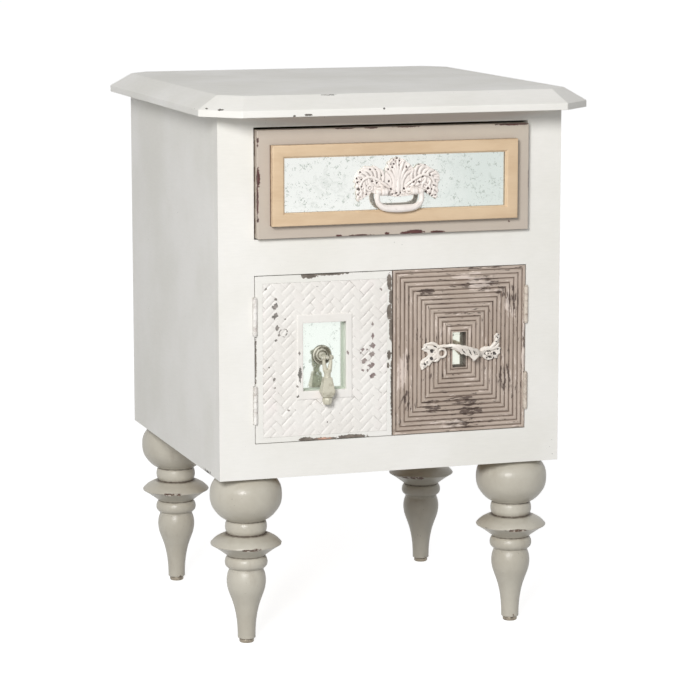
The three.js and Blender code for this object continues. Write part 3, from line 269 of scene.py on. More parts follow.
def painted(name, colour, dull, marks=(), under=WORN_DARK, gloss=0.5, fleck=0.0, tint=None, warm=None):
    """Brushed paint over wood: soft clouds, brush lines, specks, and wear where marks say."""
    f = new_finish(name)
    clouds = f.cloud(7.0, 4.0, 0.6)
    colour_now = f.mix(clouds.step(0.3, 0.7), dull, colour)
    brush = f.cloud(60.0, 3.0, 0.6, at=f.here((1.0, 1.0, 7.0)))
    pores = f.cloud(900.0, 2.0, 0.5)
    colour_now = f.dull(colour_now, brush.step(0.25, 0.75, 0.975, 1.0))
    # The tint patch: a warm painted shade under the top; on the left door's window walls, a pale green that
    # is partly green paint and partly a painted reflection of the mirror
    if tint:
        where, tinted = tint
        colour_now = f.mix(f.patches([where]).step(0.0, 0.3, 0.0, 0.85), colour_now, tinted)
    height = brush * 0.6 + pores * 0.25
    if fleck:
        speck = f.cells(170.0) + f.cloud(25.0) * 0.5
        flecks = speck.step(0.36 + fleck, 0.33 + fleck)
        colour_now = f.mix(flecks * 0.75, colour_now, under)
    if marks:
        ragged = f.cloud(330.0, 5.0, 0.75, twist=0.6)
        wear = (f.patches(marks) + (ragged - 0.5) * 3.0).step(0.34, 0.42)
        deep = f.cloud(130.0, 3.0)
        bare = f.mix(deep.step(0.35, 0.65), under, tuple(c * 1.7 + 0.01 for c in under))
        if warm:
            where, glow = warm
            spread = f.patches([where]) + (f.cloud(420.0, 4.0, 0.7) - 0.5) * 1.6
            bare = f.mix(spread.step(0.35, 0.8, 0.0, 0.9), bare, glow)
        colour_now = f.mix(wear, colour_now, bare)
        height = height - wear * 1.5
    return f.surface({
        "Base Color": colour_now,
        "Roughness": clouds.step(0.2, 0.8, gloss + 0.08, gloss - 0.06),
        "Normal": f.bump(height, PAINT_BUMP),
    })


def bare_wood(name, stretch, painted_to=None):
    """Plain softwood, its grain along the stretched axis; painted on its front end where that is given."""
    f = new_finish(name)
    at = f.here(stretch)
    figure = f.cloud(9.0, 4.0, 0.6, at=at, twist=1.2)
    rings = f.node("ShaderNodeMath", {"operation": "SINE"}, {0: figure * 46.0}) * 0.5 + 0.5
    fibre = f.cloud(120.0, 3.0, 0.6, at=at)
    colour = f.mix(rings.step(0.1, 0.95), srgb(214, 187, 147), srgb(190, 156, 112))
    colour = f.mix(fibre.step(0.35, 0.8, 0.0, 0.4), colour, srgb(160, 126, 88))
    if painted_to is not None:
        end = f.part(f.here(), "Y").step(painted_to, painted_to + 0.002, 1.0, 0.0)
        colour = f.mix(end, colour, srgb(150, 136, 122))
    return f.surface({
        "Base Color": colour,
        "Roughness": fibre.step(0.2, 0.8, 0.74, 0.6),
        "Normal": f.bump(fibre + rings * 0.4, 0.15),
    })


def gilt_paint():
    """Dull gilt paint, streaked along the moulding, with brown wash and painted shade on its low edges."""
    f = new_finish("gilt_paint")
    long_way = f.cloud(14.0, 4.0, 0.6, at=f.here((1.0, 1.0, 3.0)))
    streak = f.cloud(90.0, 3.0, 0.6, at=f.here((1.0, 1.0, 6.0)))
    colour = f.mix(long_way.step(0.3, 0.7), srgb(210, 182, 148), srgb(221, 195, 162))
    colour = f.mix(streak.step(0.45, 0.85, 0.0, 0.35), colour, srgb(228, 206, 176))
    # Brown wash on the edges, with painted shade where the moulding meets the drawer and the mirror
    low_edge = f.measure("edge")
    ragged = f.cloud(160.0, 4.0, 0.65)
    darkened = (low_edge + (ragged - 0.5) * 0.7).step(0.5, 0.75)
    colour = f.mix(darkened, colour, srgb(112, 82, 58))
    return f.surface({
        "Base Color": colour,
        "Roughness": streak.step(0.2, 0.8, 0.36, 0.5),
        "Normal": f.bump(streak * 0.7 + f.cloud(700.0) * 0.3, 0.12),
    })


def greige_gloss():
    """Glossy paint of the turned legs, darker in the creases, with a painted shadow of the case on the top
    of the bun.
    """
    f = new_finish("greige_gloss")
    clouds = f.cloud(18.0, 4.0, 0.6)
    colour = f.mix(clouds.step(0.3, 0.7), srgb(187, 181, 167), srgb(199, 194, 181))
    streak = f.cloud(45.0, 4.0, 0.65, at=f.here((1.0, 1.0, 0.35)))
    colour = f.mix(streak.step(0.55, 0.8, 0.0, 0.5), colour, srgb(168, 158, 143))
    crease = (f.measure("crease") + (f.cloud(220.0) - 0.5) * 0.5).step(0.35, 0.9)
    colour = f.mix(crease, colour, srgb(84, 70, 59))
    chip = (f.measure("chip") + (f.cloud(330.0, 5.0, 0.7) - 0.5) * 1.6).step(0.45, 0.55)
    bare = f.mix(f.cloud(260.0, 3.0).step(0.52, 0.64), srgb(104, 80, 64), srgb(212, 204, 192))
    colour = f.mix(chip, colour, bare)
    specks = (f.cells(210.0) + f.cloud(40.0) * 0.5).step(0.29, 0.26)
    colour = f.mix(specks * 0.6, colour, srgb(110, 98, 84))
    return f.surface({
        "Base Color": colour,
        "Roughness": (clouds + crease).step(0.2, 1.2, 0.31, 0.5),
        "Normal": f.bump(f.cloud(330.0, 3.0, 0.6) * 0.8 - chip, 0.45),
    })


def woven_paint():
    """White paint over the woven relief: painted shade in the valleys, dark where it has chipped."""
    f = new_finish("woven_paint")
    clouds = f.cloud(12.0, 4.0, 0.6)
    colour = f.mix(clouds.step(0.3, 0.7), srgb(236, 232, 226), srgb(243, 240, 235))
    colour = f.mix(f.cloud(30.0, 3.0).step(0.5, 0.8, 0.0, 0.6), colour, srgb(247, 238, 235))
    shown = f.cloud(30.0, 3.0, 0.6).step(0.42, 0.60, 0.12, 1.0)
    # Painted shade: grey in the valleys of the weave and towards the back of the window's wall
    valley = (f.measure("valley") + (f.cloud(90.0, 4.0, 0.65) - 0.5) * 0.9).step(0.5, 1.0) * shown
    colour = f.mix(valley * 0.68, colour, srgb(154, 150, 142))
    ragged = f.cloud(330.0, 4.0, 0.7, twist=0.5)
    chip = (f.measure("chip") + (ragged - 0.5) * 1.5).step(0.44, 0.54)
    side = f.part(f.here(), "X").step(-0.10, -0.06)
    bare = f.mix(side, srgb(100, 96, 90), srgb(122, 102, 100))
    bare = f.mix(f.cloud(150.0).step(0.4, 0.65, 0.0, 0.6), bare, srgb(168, 158, 152))
    colour = f.mix(chip * 0.92, colour, bare)
    specks = (f.cells(230.0) + f.cloud(28.0) * 0.6).step(0.33, 0.29)
    colour = f.mix(specks * 0.6, colour, srgb(134, 126, 120))
    return f.surface({
        "Base Color": colour,
        "Roughness": (clouds + chip).step(0.2, 1.4, 0.42, 0.7),
        "Normal": f.bump(f.cloud(420.0, 4.0) * 0.6 - chip, 0.2),
    })


# Each worn patch: x, y, z, half width, half depth, half height, weight, in the case's place
REEDED_WEAR = [
    (352, 0, 237, 32, 30, 11, 1.7), (394, 0, 216, 10, 30, 22, 2.2), (380, 0, 226, 11, 30, 9, 1.7),
    (276, 0, 229, 14, 30, 6, 1.7), (283, 0, 82, 17, 30, 12, 1.8), (322, 0, 86, 32, 30, 7, 1.7),
    (339, 0, 73, 19, 30, 12, 1.9), (323, 0, 56, 30, 30, 8, 1.7), (252, 0, 88, 9, 30, 18, 1.7),
    (250.5, 0, 136, 6, 30, 18, 1.5), (384, 0, 112, 12, 30, 22, 1.5), (345, 0, 258.5, 40, 30, 2.6, 1.6),
    (410.5, 0, 150, 2, 30, 100, 1.0),
]
REEDED_RUB = [
    (243, 0, 126, 10, 30, 34, 1.5), (328, 0, 247, 30, 30, 8, 1.5), (352, 0, 236, 30, 30, 12, 1.1),
    (388, 0, 205, 20, 30, 26, 0.9), (409, 0, 150, 4, 30, 100, 1.2), (310, 0, 58, 40, 30, 10, 1.0),
    (304, 0, 180, 12, 30, 14, 1.0),
]


def reeded_paint():
    """Taupe paint on the ridges, dark in the grooves, rubbed dark and pale along them."""
    f = new_finish("reeded_paint")
    place = f.here()
    x0, z0, width, height = RIGHT_DOOR
    middle = case_corner + np.array([x0 + width / 2, 0, z0 + height / 2]) / 1000
    off = f.vector("ABSOLUTE", f.vector("SUBTRACT", place, tuple(middle)))
    sideways = f.part(off, "X") - width / 2000 - (f.part(off, "Z") - height / 2000)
    upright = sideways.step(-0.0004, 0.0004)
    stretched = f.vector("MULTIPLY", place, f.mix(upright, (0.22, 1.0, 1.0), (1.0, 1.0, 0.22)))
    groove = f.measure("groove")
    clouds = f.cloud(14.0, 4.0, 0.6)
    colour = f.mix(clouds.step(0.3, 0.7), srgb(177, 161, 147), srgb(195, 180, 167))
    hollow_dark = (groove + (f.cloud(110.0, 4.0, 0.65, at=stretched) - 0.5) * 1.25).step(0.06, 0.95)
    colour = f.mix(hollow_dark * 0.8, colour, srgb(112, 93, 82))
    colour = f.mix((groove - 1.2).step(0.0, 0.2), colour, srgb(92, 77, 69))
    zone = f.patches(REEDED_WEAR).larger(0.0).smaller(0.6)
    rub = f.cloud(420.0, 4.0, 0.66, at=stretched) * 0.7 + f.cloud(120.0, 3.0, 0.6, at=stretched) * 0.3
    dark = (rub + zone * 0.165 + groove * 0.05).step(0.592, 0.65)
    colour = f.mix(dark * 0.86, colour, srgb(72, 56, 50))
    pale_rub = f.cloud(240.0, 4.0, 0.65, at=f.vector("ADD", stretched, (3.1, 0.0, 1.7)))
    pale_zone = f.patches(REEDED_RUB).larger(0.0)
    pale = (pale_rub + pale_zone * 0.2 - groove * 0.10).step(0.585, 0.66)
    front = f.part(place, "Y").step(case_corner[1] + 0.004, case_corner[1] + 0.005, 1.0, 0.0)
    colour = f.mix(pale * front * 0.7, colour, srgb(232, 218, 208))
    return f.surface({
        "Base Color": colour,
        "Roughness": (clouds + dark).step(0.2, 1.4, 0.45, 0.72),
        "Normal": f.bump(f.cloud(500.0, 4.0, at=stretched) * 0.6 - dark, 0.3),
    })


def old_mirror(name, tint, far, grey, clean=0.0):
    """Silvering gone mottled: small grey-green blots in loose groups, and a greener side."""
    f = new_finish(name)
    across = f.part(f.here(), "X")
    clouds = f.cloud(30.0, 3.0, 0.6, twist=0.5)
    ground = f.mix((across + (clouds - 0.5) * 0.12).step(-0.02, 0.12), tint, far)
    group = f.cloud(70.0, 3.0, 0.6).step(0.40, 0.62)
    blot = (f.cloud(270.0, 3.0, 0.65, twist=0.8) + group * 0.14).step(0.64 + clean, 0.75 + clean)
    haze = (clouds * 0.6 + f.cloud(120.0, 3.0, 0.6, twist=0.8) * 0.4).step(0.52, 0.68) * 0.42
    mottle = blot.larger(haze)
    colour = f.mix(mottle * 0.85, ground, grey)
    return f.surface({
        "Base Color": colour,
        "Metallic": mottle.step(0.0, 1.0, 0.94, 0.6),
        "Roughness": mottle.step(0.0, 1.0, 0.09, 0.4),
    })


def cast_paint(name, colour, dull, dark):
    """Painted casting: pale on the high places, darker in the crevices and dark in the small pits."""
    f = new_finish(name)
    clouds = f.cloud(60.0, 4.0, 0.6)
    colour_now = f.mix(clouds.step(0.3, 0.7), dull, colour)
    crevice = f.measure("crevice") + (f.cloud(420.0, 4.0, 0.7) - 0.5) * 0.08
    hollow_dark = crevice.step(0.035, 0.13)
    darkened = tuple(0.62 * a + 0.38 * b for a, b in zip(dark, dull))
    colour_now = f.mix(hollow_dark * 0.75, colour_now, darkened)
    grey = (f.cloud(260.0, 4.0, 0.7) + crevice * 1.2).step(0.60, 0.74)
    colour_now = f.mix(grey * 0.3, colour_now, dark)
    pits = (f.measure("pit") + (f.cloud(560.0, 4.0, 0.7) - 0.5) * 1.3).step(0.30, 0.52)
    colour_now = f.mix(pits * 0.92, colour_now, dark)
    return f.surface({
        "Base Color": colour_now,
        "Roughness": (clouds + hollow_dark).step(0.2, 1.4, 0.38, 0.7),
        "Normal": f.bump(f.cloud(650.0, 4.0) * 0.6 - hollow_dark * 0.4, 0.2),
    })


def worn_metal(name, colour, dark, metallic, gloss):
    """Metal or painted metal, duller and darker where clouds and crevices say."""
    f = new_finish(name)
    clouds = f.cloud(90.0, 4.0, 0.65)
    fine = f.cloud(500.0, 4.0, 0.7)
    tarnish = (clouds * 0.7 + fine * 0.35 + f.measure("crevice") * 0.5).step(0.48, 0.74)
    return f.surface({
        "Base Color": f.mix(tarnish, colour, dark),
        "Metallic": tarnish.step(0.0, 1.0, metallic, metallic * 0.5),
        "Roughness": tarnish.step(0.0, 1.0, gloss, gloss + 0.25),
        "Normal": f.bump(fine, 0.06),
    })


# Shapes, each as vertices and faces in the case's millimetres

def around(sides):
    """Cosines and sines of evenly spaced turns."""
    angles = np.arange(sides) * 2 * math.pi / sides
    return np.cos(angles), np.sin(angles)


def skin(rings, looped=False):
    """Quads over rings of equal counts; looped joins the last ring to the first, else the ends close."""
    rings = np.asarray(rings, float)
    count, sides = rings.shape[0], rings.shape[1]
    start = np.arange(sides)
    following = (start + 1) % sides
    faces = []
    for ring in range(count if looped else count - 1):
        a, b = ring * sides, ((ring + 1) % count) * sides
        faces.extend(np.stack([a + start, a + following, b + following, b + start], 1).tolist())
    if not looped:
        faces.append(list(range(sides))[::-1])
        faces.append([(count - 1) * sides + i for i in range(sides)])
    return rings.reshape(-1, 3), faces


def together(*shapes):
    """Several shapes as one, not joined."""
    vertices, faces, shift = [], [], 0
    for points, quads in shapes:
        vertices.append(np.asarray(points, float))
        faces.extend([[i + shift for i in quad] for quad in quads])
        shift += len(points)
    return np.concatenate(vertices), faces


def moved(shape, offset):
    return np.asarray(shape[0], float) + np.asarray(offset, float), shape[1]


def mirrored(shape):
    """The shape on the other side of X = 0."""
    return np.array(shape[0], float) * (-1, 1, 1), [quad[::-1] for quad in shape[1]]


def lathe(profile, sides, centre, axis="z"):
    """A turned shape from (radius, place along the axis) pairs, closed at both ends."""
    cosines, sines = around(sides)
    rings = []
    for radius, along in profile:
        across = (radius * cosines, radius * sines)
        flat = np.full(sides, float(along))
        order = {"x": (flat, *across), "y": (across[0], flat, across[1]), "z": (*across, flat)}[axis]
        rings.append(np.stack(order, 1) + np.asarray(centre, float))
    return skin(rings)


def smooth_line(points, steps):
    """A smooth curve through rows of numbers, with steps between each two."""
    rows = np.asarray(points, float)
    padded = np.vstack([2 * rows[0] - rows[1], rows, 2 * rows[-1] - rows[-2]])
    line = []
    for k in range(len(rows) - 1):
        a, b, c, d = padded[k:k + 4]
        for t in np.arange(steps) / steps:
            line.append(0.5 * (2 * b + (c - a) * t + (2 * a - 5 * b + 4 * c - d) * t * t
                               + (3 * b - a - 3 * c + d) * t ** 3))
    line.append(rows[-1])
    return np.array(line)


LIMB_END_TURNS = (75, 45, 20)
THINNEST = 0.15


def limb(points, radii, flat=1.0, sides=10, steps=5, across=(0.0, 1.0, 0.0)):
    """A tapered limb with rounded ends; flat squeezes it along the direction across."""
    line = smooth_line(np.column_stack([points, radii]), steps)
    path, sizes = line[:, :3], np.maximum(line[:, 3], THINNEST)
    tangents = np.gradient(path, axis=0)
    tangents /= np.linalg.norm(tangents, axis=1)[:, None]
    depth = np.asarray(across, float)
    cosines, sines = around(sides)
    rings = []

    def ring(centre, tangent, size):
        side = np.cross(tangent, depth)
        side /= max(np.linalg.norm(side), 1e-6)
        up = np.cross(side, tangent)
        rings.append(centre + size * (cosines[:, None] * side + flat * sines[:, None] * up))

    for turn in LIMB_END_TURNS:
        t = math.radians(turn)
        ring(path[0] - tangents[0] * sizes[0] * math.sin(t), tangents[0], sizes[0] * math.cos(t))
    for centre, tangent, size in zip(path, tangents, sizes):
        ring(centre, tangent, size)
    for turn in LIMB_END_TURNS[::-1]:
        t = math.radians(turn)
        ring(path[-1] + tangents[-1] * sizes[-1] * math.sin(t), tangents[-1], sizes[-1] * math.cos(t))
    return skin(rings)


def hoop(centre, radius, thick, steps=24, sides=8):
    """A round ring that faces the front."""
    cosines, sines = around(sides)
    rings = []
    for k in range(steps):
        turn = 2 * math.pi * k / steps
        outward = np.array((math.cos(turn), 0.0, math.sin(turn)))
        section = cosines[:, None] * outward + sines[:, None] * np.array((0.0, 1.0, 0.0))
        rings.append(np.asarray(centre, float) + outward * radius + thick * section)
    return skin(rings, looped=True)


BALL_TURNS = np.radians(np.linspace(-84, 84, 9))
BALL_SIDES = 14


def ball(centre, sizes):
    """A ball stretched to three half sizes."""
    points, faces = lathe([(math.cos(t), math.sin(t)) for t in BALL_TURNS], BALL_SIDES, (0, 0, 0), "y")
    return points * np.asarray(sizes, float) + np.asarray(centre, float), faces


def slab(outline, back, front):
    """A flat plate of an outline in X and Z."""
    x, z = np.asarray(outline, float).T
    return skin([np.column_stack([x, np.full(len(x), y), z]) for y in (back, front)])


def box(low, high):
    """A block between two corners."""
    x, y, z = zip(low, high)
    return skin([[(x[0], y[0], h), (x[1], y[0], h), (x[1], y[1], h), (x[0], y[1], h)] for h in z])


def from_cells(xs, ys, zs, filled):
    """The skin of the filled cells of a grid; filled takes a cell's middle."""
    full = {}
    for i in range(len(xs) - 1):
        for j in range(len(ys) - 1):
            for k in range(len(zs) - 1):
                middle = ((xs[i] + xs[i + 1]) / 2, (ys[j] + ys[j + 1]) / 2, (zs[k] + zs[k + 1]) / 2)
                full[i, j, k] = filled(*middle)
    places, faces = {}, []

    def corner(i, j, k):
        return places.setdefault((i, j, k), len(places))

    walls = (
        ((1, 0, 0), ((1, 0, 0), (1, 1, 0), (1, 1, 1), (1, 0, 1))),
        ((-1, 0, 0), ((0, 0, 0), (0, 0, 1), (0, 1, 1), (0, 1, 0))),
        ((0, 1, 0), ((0, 1, 0), (0, 1, 1), (1, 1, 1), (1, 1, 0))),
        ((0, -1, 0), ((0, 0, 0), (1, 0, 0), (1, 0, 1), (0, 0, 1))),
        ((0, 0, 1), ((0, 0, 1), (1, 0, 1), (1, 1, 1), (0, 1, 1))),
        ((0, 0, -1), ((0, 0, 0), (0, 1, 0), (1, 1, 0), (1, 0, 0))),
    )
    for (i, j, k), solid in full.items():
        if not solid:
            continue
        for (di, dj, dk), corners in walls:
            if not full.get((i + di, j + dj, k + dk), False):
                faces.append([corner(i + a, j + b, k + c) for a, b, c in corners])
    return [(xs[i], ys[j], zs[k]) for i, j, k in places], faces


# Pieces

def raw_object(name, vertices, faces):
    mesh = bpy.data.meshes.new(name)
    mesh.from_pydata(np.asarray(vertices, float).tolist(), [], [list(map(int, f)) for f in faces])
    made = bpy.data.objects.new(name, mesh)
    bpy.context.scene.collection.objects.link(made)
    return made


def settle(made):
    """Applies an object's modifiers to its mesh."""
    bpy.context.view_layer.update()
    evaluated = made.evaluated_get(bpy.context.evaluated_depsgraph_get())
    mesh = bpy.data.meshes.new_from_object(evaluated)
    made.modifiers.clear()
    old = made.data
    made.data = mesh
    bpy.data.meshes.remove(old)


def arrays(mesh):
    points = np.zeros(len(mesh.vertices) * 3)
    mesh.vertices.foreach_get("co", points)
    return points.reshape(-1, 3), [list(p.vertices) for p in mesh.polygons]


def edge_pairs(mesh):
    """The two vertices of each edge."""
    pairs = np.zeros(len(mesh.edges) * 2, int)
    mesh.edges.foreach_get("vertices", pairs)
    return pairs.reshape(-1, 2)


def neighbour_mean(values, edges):
    """For each vertex, the mean of the values of its neighbours."""
    total = np.zeros_like(values)
    count = np.zeros(len(values))
    for a, b in ((0, 1), (1, 0)):
        np.add.at(total, edges[:, a], values[edges[:, b]])
        np.add.at(count, edges[:, a], 1)
    return total / np.maximum(count, 1).reshape(-1, *[1] * (values.ndim - 1))


def fused(shapes, voxel):
    """One skin over overlapping shapes, softened like a casting."""
    core = raw_object("casting_core", *together(*shapes))
    modifier = core.modifiers.new("cast", "REMESH")
    modifier.mode = "VOXEL"
    modifier.voxel_size = voxel
    settle(core)
    points, faces = arrays(core.data)
    edges = edge_pairs(core.data)
    bpy.data.objects.remove(core)
    points += 0.5 * (neighbour_mean(points, edges) - points)
    return points, faces


def piece(name, shape, body, material, stands_for, sharp=40, measures=None):
    """A finished piece that rides on a body and stands for CAD nodes; shape is in the case's millimetres."""
    points, faces = shape
    made = raw_object(name, np.asarray(points, float) / 1000 + case_corner, faces)
    worker = bmesh.new()
    worker.from_mesh(made.data)
    bmesh.ops.recalc_face_normals(worker, faces=worker.faces)
    worker.to_mesh(made.data)
    worker.free()
    made.data.shade_smooth()
    made.data.set_sharp_from_angle(angle=math.radians(sharp))
    for title, values in (measures or {}).items():
        attribute = made.data.attributes.new(title, "FLOAT", "POINT")
        attribute.data.foreach_set("value", np.asarray(values, np.float32))
    made.data.materials.append(material)
    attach(made, body)
    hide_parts(*stands_for)
    return made


def crevices(points, faces):
    """How far each vertex lies in a hollow, in millimetres; below 0 on the high places."""
    probe = raw_object("probe", points, faces)
    normals = np.zeros(len(points) * 3)
    probe.data.vertices.foreach_get("normal", normals)
    edges = edge_pairs(probe.data)
    bpy.data.objects.remove(probe)
    soft = np.array(points, float)
    for _ in range(4):
        soft = neighbour_mean(soft, edges)
    hollow = np.einsum("ij,ij->i", soft - points, normals.reshape(-1, 3))
    return 0.5 * hollow + 0.5 * neighbour_mean(hollow, edges)


def noise_at(points, size, shift=0.0):
    """Smooth noise about -1 to 1 at each point; size is in millimetres."""
    return np.array([noise.noise(Vector(p / size) + Vector((shift, shift, shift))) for p in points])


WELD_GAP = 0.00001
ARRIS_ANGLE = math.radians(28)


def bevelled(made, width):
    """Softens the sharp arrises of a piece or a CAD node, which keeps its own mesh."""
    weld = made.modifiers.new("weld", "WELD")
    weld.merge_threshold = WELD_GAP
    bevel = made.modifiers.new("arris", "BEVEL")
    bevel.width = width / 1000
    bevel.segments = 2
    bevel.limit_method = "ANGLE"
    bevel.angle_limit = ARRIS_ANGLE


def finish_node(name, material):
    """Gives a CAD node that stays its finish; returns the node."""
    node = nodes[name]
    node.data.materials.clear()
    node.data.materials.append(material)
    return node


# Case

def breaks(*groups):
    """All the values of the groups once, in order, to a thousandth."""
    return sorted({round(value, 3) for group in groups for value in group})


def hinge_room(x, y, z, edge, side):
    """Whether a place lies in a hinge's gain beside an edge; side is +1 where wood lies to +X."""
    into = (x - edge) * side
    for bottom in HINGE_BOTTOMS:
        leaf = -HINGE_PLAY < z - bottom < HINGE_LENGTH + HINGE_PLAY
        if leaf and into < HINGE_GAIN[0] and y < HINGE_GAIN[1]:
            return True
        barrel = -BARREL_ROOM[2] < z - bottom < HINGE_LENGTH + BARREL_ROOM[2]
        if barrel and into < BARREL_ROOM[0] and y < BARREL_ROOM[1]:
            return True
    return False


def face_frame(material):
    """Stiles and rails as one painted frame, as their joints are painted over."""
    left, right = STILE, CASE[0] - STILE
    groove_start, groove_end, groove_depth = SIDE_GROOVE
    rooms = (HINGE_GAIN[0], BARREL_ROOM[0])
    ends = (-BARREL_ROOM[2], -HINGE_PLAY, HINGE_LENGTH + HINGE_PLAY, HINGE_LENGTH + BARREL_ROOM[2])
    xs = breaks(
        (0, groove_start, groove_end, left, right, CASE[0] - groove_end, CASE[0] - groove_start, CASE[0]),
        [left - room for room in rooms], [right + room for room in rooms],
    )
    ys = breaks((0, BARREL_ROOM[1], groove_depth, HINGE_GAIN[1], FRAME_DEPTH))
    hinge_ends = [bottom + end for bottom in HINGE_BOTTOMS for end in ends]
    zs = breaks((0, *DOOR_OPENING, *DRAWER_OPENING, CASE[2]), hinge_ends)

    def filled(x, y, z):
        at_door = DOOR_OPENING[0] < z < DOOR_OPENING[1]
        at_drawer = DRAWER_OPENING[0] < z < DRAWER_OPENING[1]
        if left < x < right and (at_door or at_drawer):
            return False
        if y > groove_depth and groove_start < min(x, CASE[0] - x) < groove_end:
            return False
        if x < left and hinge_room(x, y, z, left, -1):
            return False
        return not (x > right and hinge_room(x, y, z, right, 1))

    stands_for = ("stile_left", "stile_right", "rail_top", "rail_middle", "rail_bottom")
    frame_piece = piece(
        "face_frame", from_cells(xs, ys, zs, filled), "case", material, stands_for,
    )
    bevelled(frame_piece, 0.9)


# Turned leg, as (radius, height) rows from the case down to the foot
BUN = [
    (27, -0.3), (35.4, -3.6), (40.9, -9), (45.2, -17), (46.5, -26), (46.1, -34.5), (44.2, -41.5),
    (41.2, -46.8), (36.8, -52.4), (32.0, -56.8), (26.4, -60.2),
]
UPPER_RING = [(24.2, -61.4), (26.1, -63.8), (27, -69), (26.6, -73.6), (25.2, -77), (24.0, -78.4)]
DISC_TOP = [(25.6, -79.2), (30.6, -80.3), (35.4, -82.4), (40.6, -85.6), (45.2, -90.1), (46.0, -91.3)]
DISC_UNDER = [(45.6, -92.6), (40.0, -96.0), (34.0, -100.2), (28.6, -104.2), (25.0, -107.2)]
LOWER_RING = [
    (24.0, -108.3), (26.4, -110.8), (27.7, -116), (26.8, -120.6), (24.0, -123.6), (22.6, -124.7),
]
VASE = [
    (22.6, -127.4), (24.2, -131.5), (25.3, -138), (25.3, -143.5), (24.2, -151), (22.0, -158),
    (19.2, -165.5), (16.6, -173.5), (14.7, -181.5), (13.2, -190), (12.2, -199), (11.7, -208),
    (11.6, -216.6),
]
TENON = [(10, 25), (10, -0.3)]
FOOT = -217.2
FOOT_END = [(11.1, FOOT), (1.8, FOOT), (1.8, -203)]
GLIDE = [
    (1.5, -203.8), (1.5, -217.5), (8.6, -217.5), (9.2, -217.9), (9.5, -218.8), (9.5, -221.3),
    (9.1, -222.4), (8.2, -223.0),
]
LEG_SIDES = 96
GLIDE_SIDES = 48

# Heights of the creases and of the disc's rim, and which way the chip on the rim faces, in degrees
CREASES = (-60.9, -78.8, -107.7, -126.0)
RIM = -92.3
RIM_CHIP_AT = -97.0


def leg_profile():
    """(radius, height) down one leg; segments meet in the creases between the turnings."""
    turned = [smooth_line(rows, 4) for rows in (UPPER_RING, DISC_TOP, DISC_UNDER, LOWER_RING)]
    return np.vstack([TENON, smooth_line(BUN, 5), *turned, smooth_line(VASE, 3), FOOT_END])


def bitten_rim(points, x, y, number):
    """How far the paint and wood are chipped at each place on the rim of a leg's disc."""
    rough = noise_at(points, 5.0, 10.0 * number)
    fine = noise_at(points, 1.7, 20.0 * number + 5)
    rim = np.clip(1.15 - np.abs(points[:, 2] - RIM) / 2.2, 0, 1)
    facing = np.degrees(np.arctan2(points[:, 1] - y, points[:, 0] - x))
    in_front = np.clip(1.3 - np.abs(facing - RIM_CHIP_AT + 7.0 * number) / 20.0, 0, 1)
    return rim * np.clip(1.15 * in_front + 0.9 * rough + 0.6 * fine - 0.35, 0, 1), rough


def legs(material, metal):
    """Four turned legs with chipped rims, and their metal glides."""
    profile = leg_profile()
    for number, (place, (x, y)) in enumerate(LEG_PLACES.items()):
        points, faces = lathe(profile, LEG_SIDES, (x, y, 0))
        heights = points[:, 2]
        bitten, rough = bitten_rim(points, x, y, number)
        inward = (points[:, :2] - (x, y)) * (1 - 0.035 * bitten / 0.4)[:, None]
        points[:, :2] = inward + (x, y)
        crease = sum(np.exp(-np.abs(heights - c) / 1.5) for c in CREASES)
        # Painted shadow of the case on the top of the bun
        crease += 0.9 * np.exp(-np.abs(heights + 0.5) / 2.6)
        foot = np.clip(1 - (heights - FOOT) / 7, 0, 1)
        chip = np.clip(bitten * 2.4, 0, 1) + foot * np.clip(0.25 + rough, 0, 0.8)
        piece(
            f"leg_{place}_turned", (points, faces), "case", material, (f"leg_{place}",), 32,
            {"crease": crease, "chip": chip},
        )
        glide = lathe(GLIDE, GLIDE_SIDES, (x, y, 0))
        piece(f"glide_{place}_turned", glide, "case", metal, (f"glide_{place}",))


# Drawer

def mitred(outer, profile):
    """A mitred rectangular ring; outer is (x0, z0, x1, z1) and profile (inset x, inset z, y) rows."""
    x0, z0, x1, z1 = outer
    rings = [
        [(x0 + a, y, z0 + b), (x1 - a, y, z0 + b), (x1 - a, y, z1 - b), (x0 + a, y, z1 - b)]
        for a, b, y in profile
    ]
    return skin(rings, looped=True)


# The gilt frame: its outer edge, (inset, y) rows of its section, and how much brown wash and painted shade
# the gilt gets at a y
MOULDING = (64.5, 323.3, 391.5, 424.7)
MOULDING_SECTION = [
    (0, -10.3), (0, -12.2), (0, -20.6), (0.3, -21.4), (1.0, -21.8), (2.0, -21.9), (13.4, -21.9),
    (14.2, -21.6), (14.8, -21.0), (15.2, -19.8), (15.6, -19.4), (16.2, -19.1), (16.5, -18.4),
    (16.5, -15.6), (11.5, -15.6), (11.5, -10.3),
]
MOULDING_WASH_AND_SHADE = {-10.3: 1.0, -12.2: 0.95, -15.6: 1.0, -21.4: 0.62, -19.1: 0.5}


def gilt_moulding(material):
    """The mitred gilt frame round the drawer's mirror."""
    shape = mitred(MOULDING, [(a, a, y) for a, y in MOULDING_SECTION])
    # Brown wash and painted shade on the moulding's edges, by the y of each row
    wear = [MOULDING_WASH_AND_SHADE.get(y, 0.0) for _, y in MOULDING_SECTION]
    piece(
        "drawer_moulding_mitred", shape, "drawer", material, ("drawer_moulding",), 26,
        {"edge": np.repeat(wear, 4)},
    )


def frond(start, end, small, large, y_start, y_end, bend=0.0, flat=0.62):
    """A leaf lobe in relief from its stem to its tip, bent sideways by a share of its length."""
    start, end = np.array(start, float), np.array(end, float)
    along = end - start
    side = np.array([-along[1], along[0]]) * bend
    spots = [start, start + along * 0.35 + side, start + along * 0.72 + side, end]
    depths = np.linspace(y_start, y_end, 4)
    points = [(p[0], depth, p[1]) for p, depth in zip(spots, depths)]
    return limb(points, [small, (small + large) * 0.6, large, large * 0.62], flat)


PIT_DEPTH = 1.3
BASE_DARK_REACH = 1.3


